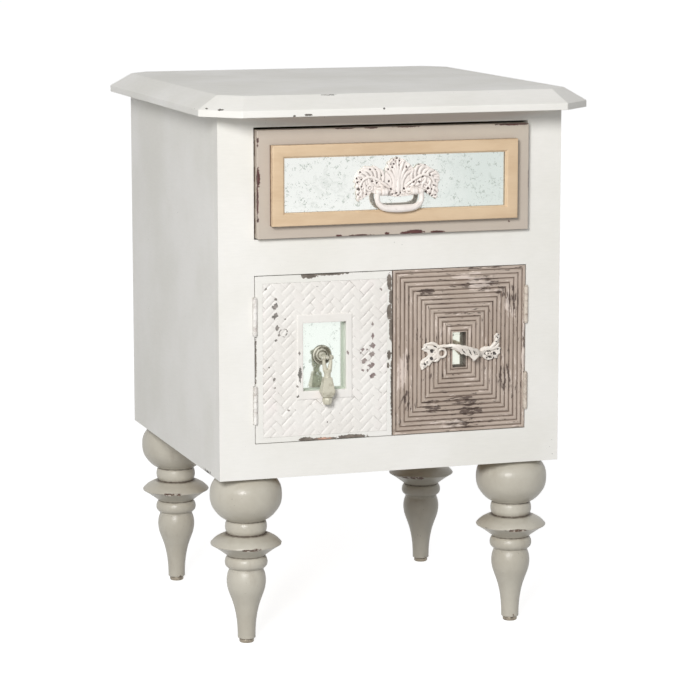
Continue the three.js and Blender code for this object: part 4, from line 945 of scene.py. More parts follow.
def pitted(points, pits, centre, front):
    """Sinks small uneven pits into the front of a casting; returns how deep each vertex lies in one."""
    depth = np.zeros(len(points))
    skew_x, skew_z = 0.9 * noise_at(points, 1.9), 0.9 * noise_at(points, 1.9, 9.0)
    for x, z, radius in pits:
        away = np.hypot(points[:, 0] + skew_x - centre[0] - x, points[:, 2] + skew_z - z)
        depth = np.maximum(depth, np.clip(1.3 - away / radius, 0, 1))
    depth *= points[:, 1] < front
    points[:, 1] += depth * PIT_DEPTH
    return depth


def darkened_at_base(points, faces, back):
    """The crevices of a casting, raised where it meets the face that it lies on, which darkens it there."""
    low = np.clip((points[:, 1] - back + BASE_DARK_REACH) / BASE_DARK_REACH, 0, 1)
    return crevices(points, faces) + 0.16 * low * (0.6 + 0.9 * noise_at(points, 4.0, 2.0))


# Outline of the pull's plate: x from its middle, z from the case's underside
PLATE_EDGE = [
    (0, 405.6), (8.5, 402.6), (13.5, 398.6), (19, 394), (22, 389.5), (23.6, 383.5), (24.6, 391.5),
    (30.4, 396.6), (38, 395.4), (45.4, 390.2), (50, 388.4), (55, 385), (57.2, 380), (56.2, 374.2),
    (54.2, 369), (54.6, 361.5), (53, 355), (51, 351), (46, 354.8), (39, 359), (33.6, 361.6), (26, 358),
    (21, 356.8), (8, 355.8), (0, 355.4), (-8, 356.4), (-19.6, 358.8), (-27, 360), (-34.5, 362.2),
    (-36, 359.6), (-43.5, 355.8), (-48.6, 352.4), (-52, 356.6), (-53.6, 364.3), (-53.4, 371),
    (-56.4, 376.2), (-54.6, 384.2), (-51.2, 389.2), (-47, 392.2), (-42.4, 395.4), (-37, 394.8),
    (-30.3, 394.6), (-25.6, 392), (-22.6, 387.6), (-21.2, 381.5), (-16.6, 381.5), (-15.4, 386),
    (-16.2, 391), (-12.2, 396), (-10.8, 400), (-7, 402.8),
]

# Its pits, (x, z, radius)
PLATE_PITS = [
    (-49.5, 388, 1.3), (-53.5, 380, 1.2), (-52.5, 375.5, 1.5), (-48, 378.5, 1.1), (-33, 376.5, 1.5),
    (-27.5, 374, 1.6), (-51.5, 366.5, 1.9), (-52, 360, 1.3), (-47.5, 369.5, 1.2), (-41, 360, 1.4),
    (-11, 375.5, 1.6), (-8.5, 365.5, 1.7), (9, 365.5, 1.8), (-1.5, 360.5, 1.4), (4, 360.5, 1.5),
    (-6.5, 359, 1.4), (0.5, 357.6, 1.0), (22, 374, 1.6), (29.5, 373.5, 1.8), (34, 380, 1.6),
    (43, 381.5, 1.3), (49, 368.5, 1.5), (41, 364.5, 1.7), (38.5, 360.5, 1.7), (43.5, 358, 1.7),
    (46.5, 355.5, 1.4), (50, 351.5, 1.6), (51, 356, 1.2), (46, 364, 1.3), (-7, 393, 1.6),
    (12, 393, 1.3), (-5, 402.5, 1.3), (-1, 404.6, 1.3), (3, 400.8, 1.5), (-9, 396.5, 1.2),
    (-12.5, 390.5, 1.2), (-5, 397, 1.1), (2, 395.5, 1.2), (-36, 391, 1.0), (-29.5, 391, 1.0),
    (29, 395.8, 1.2), (37, 394.8, 1.0), (50, 387.4, 0.9), (17, 371, 0.9),
]

# Flutes of its crest, lobes of a wing from stem to tip, the wing's scroll, and the turned boss of a lug
CREST_TIPS = [
    (-14.4, 389.4), (-10.8, 398), (-5.6, 402), (0.6, 404), (8.4, 400.6), (15.4, 395), (20.6, 388.6),
]
WING_LOBES = [
    ((19, 377), (24.4, 390.6)), ((24, 380), (30.6, 395.2)), ((29, 382), (37.4, 394)),
    ((34, 384), (44.4, 389.4)), ((39, 383), (50, 387)), ((44, 381), (54.8, 382.8)),
    ((48, 377), (56, 375.4)), ((50, 371), (54.4, 367.6)), ((50.4, 365), (53.6, 359.4)),
    ((49.6, 360), (51, 352.4)), ((47, 364), (46.4, 356)), ((43, 367), (40.6, 359.6)),
    ((44, 374), (38.6, 366.6)), ((38, 378), (31.6, 371)), ((31, 377), (24, 370)),
    ((24, 374), (16.6, 369.4)), ((10, 364), (22, 358.6)), ((18, 366), (30, 361)),
    ((3, 361), (10, 357.6)),
]
WING_SCROLL = [(12, 369), (20, 374.6), (29, 380), (38, 382), (45.6, 378.4), (49.4, 371), (48.8, 363)]
SCROLL_SIZES = [1.3, 1.6, 1.8, 1.7, 1.6, 1.4, 1.0]
LUG_BOSS = [(3.1, 15.8), (4.4, 16.3), (4.8, 17.6), (4.5, 20.0), (4.8, 22.4), (4.4, 23.7), (3.1, 24.2)]
LUG_POST = [(20, -17.5, 365), (20, -22, 364), (20, -26, 363)]


def plate_wing(side):
    """One leafy wing of the pull's plate, with its scroll, rings and lug; side is -1 or 1."""
    shapes = []
    for k, (start, end) in enumerate(WING_LOBES):
        tip_x = end[0] + 0.66 * math.sin(2.3 * k + side)
        tip_z = end[1] + 0.54 * math.cos(1.7 * k - side)
        stem = (side * start[0], start[1])
        shapes.append(frond(stem, (side * tip_x, tip_z), 1.2, 1.9, -18.9, -17.9, 0.16 * side, 0.75))
    scroll = [(side * x, -18.9, z + 0.6 * side) for x, z in WING_SCROLL]
    shapes.append(limb(scroll, SCROLL_SIZES, 0.8))
    shapes.append(hoop((side * 15.4, -18.6, 362.6), 2.9, 1.2))
    shapes.append(hoop((side * 36.5, -18.4, 367.8), 3.4, 1.1))
    boss = lathe(LUG_BOSS, 28, (0, PULL[1], PULL[2]), "x")
    post = limb(LUG_POST, [4.4, 4.0, 3.5], 1.0, across=(1, 0, 0))
    return shapes + [shape if side > 0 else mirrored(shape) for shape in (boss, post)]


def pull_plate(material):
    """Cast back plate: a fluted crest between two leafy wings, and the lugs that hold the bail."""
    shapes = [slab(PLATE_EDGE, PULL_BACK, -18.3)]
    for k, (x, z) in enumerate(CREST_TIPS):
        shapes.append(frond((2.0 * (k - 3), 364), (x, z), 1.4, 2.3, -18.9, -18.5, 0.06 * (k - 3), 0.8))
        shapes.append(ball((x, -18.5, z), (2.2, 1.9, 2.0)))
    shapes.append(frond((0.6, 360), (1.2, 388), 2.6, 2.2, -19.4, -18.9, 0.0, 0.8))
    shapes += plate_wing(-1) + plate_wing(1)
    points, faces = fused([moved(shape, (PULL[0], 0, 0)) for shape in shapes], 0.5)
    points[:, 1] = np.clip(points[:, 1], PULL_FRONT, PULL_BACK)
    pit = pitted(points, PLATE_PITS, PULL, -17.0)
    points[:, 1] = np.minimum(points[:, 1], PULL_BACK)
    piece(
        "drawer_pull_plate_leafy", (points, faces), "drawer", material,
        ("drawer_pull_plate",), 60, {"crevice": darkened_at_base(points, faces, PULL_BACK - 0.3), "pit": pit},
    )


# Half of the bail from its pin to the middle, (x, z), with its thickness there, and its turned end
BAIL_HALF = [
    (28.6, 363), (29.5, 357.5), (29.2, 352), (26.8, 347.4), (22.0, 343.8), (15.4, 342.2), (8, 341.7),
    (0, 341.5),
]
BAIL_SIZES = [3.5, 3.2, 3.3, 3.6, 4.1, 4.5, 4.8, 4.9]
BAIL_END = [(2.2, 25.0), (3.7, 25.6), (4.0, 27.6), (3.9, 30.4), (2.6, 31.9), (0.8, 32.4)]
BAIL_PIN = [(1.9, 14.5), (1.9, 28.6)]


def pull_bail(material):
    """Swinging bail: two arms and a fuller grip with a fine line along it."""
    line = [(x, PULL[1], z) for x, z in BAIL_HALF] + [(-x, PULL[1], z) for x, z in BAIL_HALF[-2::-1]]
    shapes = [limb(line, BAIL_SIZES + BAIL_SIZES[-2::-1], 1.0, 16, 5)]
    rib = [(x * 0.985, PULL[1] - 3.4, z + 1.7) for x, _, z in line[3:-3]]
    shapes.append(limb(rib, [0.5] + [0.95] * (len(rib) - 2) + [0.5], 1.0, 8, 5))
    for side in (-1, 1):
        for rows, sides in ((BAIL_PIN, 20), (BAIL_END, 28)):
            turned = [(radius, side * along) for radius, along in rows]
            shapes.append(lathe(turned, sides, (0, PULL[1], PULL[2]), "x"))
    points, faces = fused([moved(shape, (PULL[0], 0, 0)) for shape in shapes], 0.45)
    points[:, 1] = np.clip(points[:, 1], *BAIL_DEPTHS)
    # The bail's back is painted darker: painted shade, which shows in its reflection in the mirror
    behind = np.clip((points[:, 1] - PULL[1] - 0.6) / 2.2, 0, 1)
    piece(
        "drawer_pull_bail_shaped", (points, faces), "drawer_bail", material,
        ("drawer_pull_bail",), 60, {"crevice": crevices(points, faces) + 0.25 * behind},
    )


# Left door

# Chips in the woven paint: x, z, half width, half height, weight
WOVEN_CHIPS = [
    (74.9, 229.1, 2.4, 2.2, 1.2), (73.8, 219.9, 4.2, 4.6, 1.2), (73.8, 207.7, 4.7, 4.4, 1.2),
    (76.5, 192.5, 3.0, 4.2, 1.2), (75.0, 177.0, 2.2, 2.2, 1.2), (79.0, 183.0, 2.6, 2.2, 1.0),
    (203.5, 191.6, 2.0, 3.6, 1.2), (203.5, 176.3, 2.6, 4.6, 1.2), (203.5, 164.1, 4.7, 4.4, 1.2),
    (202.7, 152.7, 4.7, 4.2, 1.2), (202.0, 138.2, 5.2, 5.0, 1.2), (203.5, 125.2, 4.7, 4.2, 1.2),
    (190.2, 159.3, 2.8, 2.8, 1.1), (196.0, 159.3, 1.8, 1.8, 1.1), (187.4, 155.0, 1.8, 1.6, 1.0),
    (191.8, 144.8, 4.7, 4.4, 1.2), (190.0, 132.8, 2.4, 2.2, 1.1), (196.5, 132.4, 1.8, 2.6, 1.1),
    (105.6, 159.0, 2.0, 3.0, 1.1), (106.4, 131.6, 3.0, 12.0, 1.3), (102.8, 116.4, 2.0, 2.6, 1.0),
    (103.5, 103.3, 2.2, 2.4, 1.1), (91.0, 86.7, 2.0, 2.0, 0.9), (72.3, 126.8, 2.2, 3.2, 1.2),
    (73.4, 116.1, 1.7, 1.7, 1.1), (66.0, 142.5, 1.5, 1.5, 1.0), (169.8, 157.0, 1.6, 5.0, 1.1),
    (142.7, 68.7, 1.8, 1.6, 1.0), (61.8, 242.3, 2.0, 2.4, 1.0), (214.5, 236.0, 2.0, 3.0, 0.9),
    (87.1, 203.0, 2.0, 1.6, 0.9), (129.0, 243.0, 2.6, 1.2, 0.8),
]

# A ring worn into the paint: x, z, radius
RING = (84.5, 185.9, 5.0)

# Sizes in millimetres and shifts of the fine, the middle and the broad unevenness of the paint
WOVEN_NOISES = ((2.2, 7.0), (6.0, 0.0), (24.0, 3.0))
WINDOW_SHADE = 0.75


def depth_inside(x, z, span_x, span_z):
    """How far each place lies inside a rectangle, in millimetres; below 0 outside."""
    return np.minimum.reduce([x - span_x[0], span_x[1] - x, z - span_z[0], span_z[1] - z])


def field_lines(field, margin, window, counts):
    """Grid lines across the field, with one just outside each edge of the window's margin."""
    before, within, after = counts
    return np.array(breaks(
        np.linspace(field[0], margin[0], before), np.linspace(*margin, within),
        (margin[0] - 0.15, margin[1] + 0.15), np.linspace(margin[1], field[1], after), window,
    ))


def strips(x, z):
    """How far each place lies inside its strip of the weave, and where along and across the strip."""
    u = (x - FIELD_MIDDLE[0] + z - FIELD_MIDDLE[1]) / math.sqrt(2) / STRIP
    v = (z - FIELD_MIDDLE[1] - x + FIELD_MIDDLE[0]) / math.sqrt(2) / STRIP
    i, j = np.floor(u), np.floor(v)
    turn = np.mod(i - j, 4)
    lying = turn < 2
    along = np.where(lying, u - np.where(turn == 1, i - 1, i) - 1, v - np.where(turn == 2, j - 1, j) - 1)
    across = np.where(lying, v - j, u - i) - 0.5
    edge = np.minimum(1 - np.abs(along), 0.5 - np.abs(across)) * STRIP
    return edge, along, across


def woven_relief(x, z, fill, wave, broad):
    """How far back the painted relief lies at each place, and how far each is in a valley."""
    edge, along, across = strips(x, z)
    rise = 1 - (1 - np.clip((edge + 0.25 * wave) / 2.2, 0, 1)) ** 2.2
    relief = STRIP_RELIEF * np.clip(0.66 + 0.5 * broad + 0.16 * wave, 0.3, 1)
    crown = 0.24 * (np.abs(across) * 2) ** 2 + 0.20 * np.abs(along) ** 2
    y = relief * (1 - rise) + crown * rise + 0.06 * fill + 0.07 * wave + 0.05
    narrow = 1 - np.clip((edge - 0.15) / (1.15 + 0.5 * wave), 0, 1)
    valley = narrow * np.clip(0.75 + 0.9 * broad + 0.6 * wave, 0.1, 1)
    rim = depth_inside(x, z, MARGIN_X, MARGIN_Z)
    lip = -depth_inside(x, z, WINDOW_X, WINDOW_Z)
    rounded = 0.45 * np.clip(1 - rim / 1.3, 0, 1) ** 2 + 0.4 * np.clip(1 - lip / 1.2, 0, 1) ** 2
    margin = rim > -0.1
    y = np.where(margin, -0.5 + rounded + 0.03 * wave, np.clip(y, 0.0, 1.6))
    return y, np.where(margin, np.clip(0.5 - rim, 0, 0.5), valley)


def woven_chips(x, z, fill, wave):
    """How chipped each place of the weave is; the paint is gone above about 0.5."""
    chip = np.full(x.shape, -1.0)
    for cx, cz, half_x, half_z, weight in WOVEN_CHIPS:
        slant = 0.35 * math.sin(5.0 * cx + cz) if half_z < 8 else 0.0
        diamond = np.abs((x - cx + slant * (z - cz)) / half_x / 1.6) + np.abs((z - cz) / half_z / 1.6)
        chip = np.maximum(chip, (1 - diamond) * weight)
    ring = np.hypot(x - RING[0], z - RING[1]) + 0.9 * wave - RING[2]
    chip = np.maximum(chip, 0.60 + 0.3 * fill - np.abs(ring) / 3.6)
    border = depth_inside(x, z, FIELD_X, FIELD_Z)
    chip = np.maximum(chip, 0.20 * np.clip(1 - border / 3.0, 0, 1) + 0.02)
    return np.maximum(chip, 0.12 + 0.16 * wave)


def weave(material):
    """The woven field: paired strips crossing on the diagonal, and the plain margin of the window."""
    xs = field_lines(FIELD_X, MARGIN_X, WINDOW_X, (57, 93, 59))
    zs = field_lines(FIELD_Z, MARGIN_Z, WINDOW_Z, (58, 138, 53))
    x, z = np.meshgrid(xs, zs, indexing="ij")
    grid = np.stack([x.ravel(), z.ravel(), np.zeros(x.size)], 1)
    fill, wave, broad = (noise_at(grid, size, shift).reshape(x.shape) for size, shift in WOVEN_NOISES)
    y, valley = woven_relief(x, z, fill, wave, broad)
    chip = woven_chips(x, z, fill, wave)
    y = y + np.clip(chip - 0.4, 0, 0.5) * 0.5
    front = np.stack([x, y, z], -1).reshape(-1, 3)
    index = np.arange(x.size).reshape(x.shape)
    middles = np.meshgrid((xs[1:] + xs[:-1]) / 2, (zs[1:] + zs[:-1]) / 2, indexing="ij")
    solid = depth_inside(*middles, WINDOW_X, WINDOW_Z) < 0
    corners = [index[:-1, :-1], index[1:, :-1], index[1:, 1:], index[:-1, 1:]]
    faces = np.stack(corners, -1)[solid].tolist()
    a, b = np.searchsorted(xs, WINDOW_X)
    c, d = np.searchsorted(zs, WINDOW_Z)
    rims = [(0, len(xs) - 1, 0, len(zs) - 1), (a, b, c, d)]
    points, valleys, backs = front, valley.ravel(), []
    for rim, shade in zip(rims, (0.0, WINDOW_SHADE)):
        loop = loop_of(index, *rim)
        back = list(range(len(points), len(points) + len(loop)))
        for k in range(len(loop)):
            after = (k + 1) % len(loop)
            faces.append([loop[k], loop[after], back[after], back[k]])
        points = np.vstack([points, front[loop] * (1, 0, 1) + (0, FIELD_BACK, 0)])
        valleys = np.append(valleys, np.full(len(loop), shade))
        backs.append(back)
    faces.extend(back_faces(backs, rims))
    chips = np.append(chip.ravel(), np.full(len(points) - chip.size, -1.0))
    used = np.ones(len(points), bool)
    used[index[a + 1:b, c + 1:d]] = False
    renumber = np.cumsum(used) - 1
    faces = [[int(renumber[n]) for n in face] for face in faces]
    piece(
        "left_door_weave_painted", (points[used], faces), "left_door", material,
        ("left_door_weave",), 50, {"valley": valleys[used], "chip": chips[used]},
    )


def loop_of(index, a, b, c, d):
    """The vertices round a rectangle of a grid, from its low corner."""
    return [*index[a:b, c], *index[b, c:d], *index[b:a:-1, d], *index[a, d:c:-1]]


def back_faces(backs, rims):
    """Four flat faces between the outer and the inner rectangle of the back."""
    corners = []
    for a, b, c, d in rims:
        wide, tall = b - a, d - c
        corners.append([0, wide, wide + tall, 2 * wide + tall, 2 * (wide + tall)])
    closed = [back + back[:1] for back in backs]
    faces = []
    for k in range(4):
        outside, inside = (ring[at[k]:at[k + 1] + 1] for ring, at in zip(closed, corners))
        faces.append(outside + inside[::-1])
    return faces


# The rosette's turned disc and its pin, (radius, place along) rows, and the radii of its grooves
ROSETTE_DISC = [
    (1.0, 12.4), (12.7, 12.4), (12.7, 11.4), (12.2, 10.6), (11.2, 10.0), (10.2, 10.4), (9.5, 11.1),
    (8.9, 11.2), (8.3, 10.6), (7.3, 9.9), (6.4, 10.1), (5.9, 10.8), (5.4, 10.7), (4.9, 9.6), (4.2, 8.3),
    (3.2, 7.6), (2.6, 7.0), (2.55, 2.0), (2.5, -9.0), (2.4, -11.9), (1.9, -12.7), (0.8, -12.9),
]
ROSETTE_PIN = [
    (1.0, -7.9), (2.2, -7.8), (2.6, -7.2), (2.6, -6.6), (1.7, -6.5), (1.7, 6.5), (2.6, 6.6), (2.6, 7.2),
    (2.2, 7.8), (1.0, 7.9),
]
ROSETTE_GROOVES = (5.6, 8.7, 10.4)


def rosette(material):
    """A turned disc with a stem, and the pin that the drop swings on."""
    x, y, z = DROP
    disc = lathe(ROSETTE_DISC, 64, (x, 0, z), "y")
    points, faces = together(disc, lathe(ROSETTE_PIN, 32, (x, y, z), "x"))
    radii = np.hypot(points[:, 0] - x, points[:, 2] - z)
    grooves = sum(np.exp(-np.abs(radii - r) / 0.35) for r in ROSETTE_GROOVES) + (radii > 12.5) * 0.6
    piece(
        "left_door_rosette_turned", (points, faces), "left_door", material,
        ("left_door_rosette",), 35, {"crevice": grooves * 0.7},
    )


SQUARENESS = 16.0
SQUARED_SIDES = 64


def squared(half_x, half_y, z, centre):
    """A nearly square ring with rounded corners."""
    angles = np.arange(SQUARED_SIDES) * 2 * math.pi / SQUARED_SIDES + math.pi / SQUARED_SIDES
    c, s = np.cos(angles), np.sin(angles)
    reach = (np.abs(c) ** SQUARENESS + np.abs(s) ** SQUARENESS) ** (-1 / SQUARENESS)
    x, y = centre[0] + half_x * reach * c, centre[1] + half_y * reach * s
    return np.stack([x, y, np.full(SQUARED_SIDES, z)], 1)


# The drop's eyes, arms, collar, body and tip: (radius or half width, place along) rows
DROP_EYE = [(2.0, 3.3), (3.1, 3.25), (3.4, 3.6), (3.4, 5.8), (3.1, 6.15), (2.0, 6.1)]
EYE_SIDES = 28
DROP_ARM = [(4.6, -2.6), (4.2, -8), (2.9, -15.6)]
DROP_COLLAR = [
    (1.0, 138.4), (4.6, 138.4), (5.5, 137.7), (5.6, 136.9), (5.0, 136.1), (5.4, 135.4), (5.2, 134.8),
    (4.3, 134.3), (4.1, 131.6), (4.3, 128.4), (4.9, 127.2), (3.0, 126.9),
]
DROP_BODY = [
    (2.0, 128.0), (5.0, 128.0), (5.5, 127.4), (5.6, 126.0), (6.6, 120.6), (7.7, 115.2), (8.7, 110.8),
    (8.85, 110.2), (8.8, 109.8), (7.7, 106.8), (6.7, 104.2), (6.4, 103.4), (2.0, 103.2),
]
DROP_TIP = [
    (1.0, 103.2), (4.6, 103.1), (6.2, 101.9), (6.6, 100.8), (6.55, 97.4), (5.7, 94.9), (4.6, 93.4),
    (1.0, 93.2),
]


def drop_eye(side):
    """One eye of the drop, open along the pin; side is -1 or 1."""
    points, faces = lathe([(radius, side * along) for radius, along in DROP_EYE], EYE_SIDES, DROP, "x")
    last = (len(DROP_EYE) - 1) * EYE_SIDES
    walls = [face for face in faces if len(face) == 4]
    ring = [(k, (k + 1) % EYE_SIDES) for k in range(EYE_SIDES)]
    return points, walls + [[a, b, last + b, last + a] for a, b in ring]


def drop(material):
    """The pendant: two eyes on the pin, a collar, a squared flaring body and a faceted tip."""
    x, y, z = DROP
    shapes = []
    for side in (-1, 1):
        shapes.append(drop_eye(side))
        arm = [(x + side * out, y, z + lift) for out, lift in DROP_ARM]
        shapes.append(limb(arm, [2.0, 2.5, 3.2]))
    shapes.append(lathe(DROP_COLLAR, 40, (x, y, 0)))
    shapes.append(skin([squared(r, r * 0.9, height, (x, y)) for r, height in DROP_BODY]))
    shapes.append(lathe(DROP_TIP, 8, (x, y, 0)))
    points, faces = together(*shapes)
    points[:, 1] = np.clip(points[:, 1], *DROP_DEPTHS)
    piece(
        "left_door_drop_faceted", (points, faces), "left_drop", material,
        ("left_door_drop",), 28,
    )


# Right door

# Points of the section: shares of the way to the first groove, then places across a reed from -1 to 1
FIRST_REED = (0.45, 0.7, 0.85, 0.95, 1.0)
ACROSS_REED = (-0.94, -0.84, -0.68, -0.45, -0.2, 0.1, 0.4, 0.65, 0.82, 0.93, 1.0)
REED_START = 1.2


def reeds():
    """(inset, y, groove) from the door's outer edge to its window."""
    rows = [(0.0, 0.5, 0.3), (0.5, 0.12, 0.0), (REED_START, 0.0, 0.0)]
    for share in FIRST_REED:
        depth = share ** REED_ROUNDNESS
        rows.append((REED_START + (FIRST_GROOVE - REED_START) * share, GROOVE_DEPTH * depth, depth))
    for k in range(REEDS):
        start = FIRST_GROOVE + REED_PITCH * k
        for t in ACROSS_REED:
            depth = abs(t) ** REED_ROUNDNESS
            rows.append((start + REED_PITCH * (t + 1) / 2, GROOVE_DEPTH * depth, depth))
    return rows


def reeded_door(material):
    """The door of mitred ridges that step in to its window, with gains cut for its hinges."""
    x0, z0, width, height = RIGHT_DOOR
    in_x, in_z = (width - RIGHT_WINDOW[0]) / 2, (height - RIGHT_WINDOW[1]) / 2
    rows = reeds()
    rows += [(in_x - 1.5, 0.7, 0.5), (in_x - 0.9, 0.25, 0.1), (in_x - 0.3, 0.2, 0.0), (in_x, 0.6, 0.2)]
    rows += [(in_x, 4.0, 1.5), (in_x, GLASS_DEPTH, 1.5), (in_x - GLASS_LAP, GLASS_DEPTH, 0.0)]
    rows += [(in_x - GLASS_LAP, DOOR_DEPTH, 0.0), (0.0, DOOR_DEPTH, 0.0)]
    stretch = in_z / in_x
    shape = mitred((x0, z0, x0 + width, z0 + height), [(a, a * stretch, y) for a, y, _ in rows])
    made = piece(
        "right_door_panel_reeded", shape, "right_door", material, ("right_door_panel",), 34,
        {"groove": np.repeat([groove for _, _, groove in rows], 4)},
    )
    edge, outside = x0 + width, x0 + width + CUT_PAST
    past = BARREL_ROOM[2] - HINGE_PLAY
    cutters = []
    for bottom in HINGE_BOTTOMS:
        low, high = bottom - HINGE_PLAY, bottom + HINGE_LENGTH + HINGE_PLAY
        cutters.append(box((edge - HINGE_GAIN[0], -CUT_PAST, low), (outside, HINGE_GAIN[1], high)))
        for start, end in ((low - past, low), (high, high + past)):
            cutters.append(box((edge - BARREL_ROOM[0], -CUT_PAST, start), (outside, BARREL_ROOM[1], end)))
    points, faces = together(*cutters)
    cutter = raw_object("gain_cutter", points / 1000 + case_corner, faces)
    modifier = made.modifiers.new("gains", "BOOLEAN")
    modifier.operation = "DIFFERENCE"
    modifier.solver = "EXACT"
    modifier.use_self = True
    modifier.object = cutter
    settle(made)
    bpy.data.objects.remove(cutter)


# The handle's two leaves, (x, z) about its middle
LEFT_LEAF = [
    (-53, 3.6), (-50.6, 5.4), (-49.8, 10.0), (-47.2, 10.4), (-46, 11.6), (-42.4, 11.2), (-39.6, 12.0),
    (-36.4, 11.0), (-33, 11.2), (-29.6, 8), (-27.6, 5.6), (-28.6, -9.0), (-32.6, -10.6), (-36.6, -12.4),
    (-38.6, -14.6), (-42.8, -16.2), (-47.2, -20.4), (-52.6, -23.6), (-55, -17), (-54.2, -12.4),
    (-50.4, -8.6), (-46, -6.8), (-43.6, -4), (-45.0, -0.8), (-48.8, 0.8),
]
RIGHT_LEAF = [
    (27, -1.5), (28.6, 1.2), (34.2, 3.4), (39.2, 1), (42.8, 4), (46.8, 9.6), (46.6, 15.6), (48.6, 19),
    (52.2, 19.2), (54.2, 15.2), (54.2, 11.4), (51.8, 5.2), (48.6, 2), (55, 0.4), (54.6, -5),
    (52.2, -9.6), (50, -12.8), (43.2, -13.6), (36.2, -11.2), (27, -10),
]
LEAF_LOBES = [
    ((-32, 3), (-51.4, 4.2)), ((-31, 5), (-49, 9.4)), ((-30, 6), (-43.4, 10.8)),
    ((-29, 6.6), (-36.4, 10.8)), ((-33, -5), (-51.2, -21.8)), ((-34, -3.4), (-53, -14)),
    ((-32, -7), (-43, -17.4)), ((-29, -8.6), (-36, -12.2)), ((28, -3), (33.6, 2.4)),
    ((33, -3), (54.4, -0.2)), ((36, -5), (54, -6)), ((33, -7), (50, -12)), ((30, -7.6), (43, -13)),
    ((28, -6), (35.4, -10.4)), ((40, -0.6), (52.6, 5.6)), ((33, -1.4), (41, 1.4)),
]
CURL = [(42, -3.4, 2), (47.4, -4.2, 7.4), (49.2, -4.6, 12), (51.4, -4.6, 15.6), (49.6, -4.4, 18.6)]
CURL_SIZES = [1.8, 2.5, 2.4, 2.2, 1.7]
BRIDGE = [(-33, -2.8, 4), (-31.6, -2.8, -3), (-30.6, -2.8, -9)]

# Its grip: the line through it with its thickness, the strands twisted over it, and the lobe under them
GRIP = [
    (-29.5, -3.4, 5.4), (-26, -8.0, 7.4), (-21, -12.6, 7.8), (-14, -16.0, 6.6), (-7, -17.2, 4.0),
    (1, -16.8, 0.8), (8, -15.4, -1.8), (14.4, -13.4, -4.0), (21, -10.0, -4.8), (26.4, -6.2, -5.4),
    (31, -3.6, -5.2),
]
GRIP_SIZES = [2.2, 2.2, 2.4, 2.8, 3.6, 4.6, 5.0, 4.8, 4.0, 3.4, 2.6]
SLIM, FULL = [1.2, 2.7, 2.7, 1.5], [1.3, 2.9, 3.1, 2.1]
STRANDS = [
    ([(-26, 7.4), (-16, 8.8), (-8, 5.0), (-3.4, -1.8)], SLIM),
    ([(-16, 9.0), (-7, 7.6), (0.2, 2.2), (3.0, -4.2)], SLIM),
    ([(-5, 8.0), (3.2, 5.0), (8.4, -1.0), (9.4, -6.4)], SLIM),
    ([(4, 5.8), (10.6, 2.2), (13.6, -4.2), (14.4, -11.6)], FULL),
    ([(12, 2.8), (18.0, 0.2), (21.2, -4.2), (21.6, -8.4)], SLIM),
]
HANGING_LOBE = [(4.6, -3.4), (20.8, -5.6), (18.6, -8.6), (15.4, -12.0), (12.6, -11.4), (8.8, -7.6)]

# Slits in the casting from end to end, and its pits, (x, z, radius)
HANDLE_SLITS = [
    ((-22.4, 5.6), (-16.0, 6.6)), ((-4.4, 4.0), (1.0, -2.2)), ((4.8, 3.6), (10.6, -4.4)),
    ((12.8, 0.6), (15.6, -5.0)), ((33.0, -2.8), (42.0, -3.4)), ((38.0, -10.6), (43.0, -11.6)),
    ((-49.6, -13.0), (-46.6, -17.4)), ((-36.6, 7.4), (-33.6, 5.2)),
]
HANDLE_PITS = [
    (-39, 1.0, 2.7), (-40, -8.7, 2.7), (46.9, -6.9, 2.6), (-49.5, -15.5, 1.4), (-45.6, -13, 1.0),
    (-46.6, 6.2, 1.0), (-34.6, 6.4, 0.9), (-50.4, -19.4, 0.9), (50, 14.6, 1.3), (48.6, 9.2, 1.1),
    (51.6, -1.2, 1.1), (41, -10.8, 1.4), (36, -11.4, 1.3), (46, -12, 1.3), (38, -6.4, 1.0),
    (42.4, -6.6, 1.1), (51.2, 17.6, 1.0), (33.4, -6.2, 1.0),
]


def handle_grip():
    """The grip that stands off the door: a swelling limb under five twisted strands."""
    shapes = [limb(GRIP, GRIP_SIZES, 0.6), slab(HANGING_LOBE, -14.2, -17.4)]
    grip_x, grip_y = [p[0] for p in GRIP], [p[1] for p in GRIP]
    for strand, sizes in STRANDS:
        spots = [(x, np.interp(x, grip_x, grip_y) - 3.0 + 0.7 * n, z) for n, (x, z) in enumerate(strand)]
        shapes.append(limb(spots, sizes, 0.7, sides=12))
    return shapes


def handle_pits():
    """All pits of the handle, with each slit as a row of them."""
    pits = [(x, z + HANDLE[2], radius) for x, z, radius in HANDLE_PITS]
    for (x0, z0), (x1, z1) in HANDLE_SLITS:
        for t in np.linspace(0, 1, 7):
            pits.append((x0 + (x1 - x0) * t, z0 + (z1 - z0) * t + HANDLE[2], 1.0 - abs(t - 0.5)))
    return pits


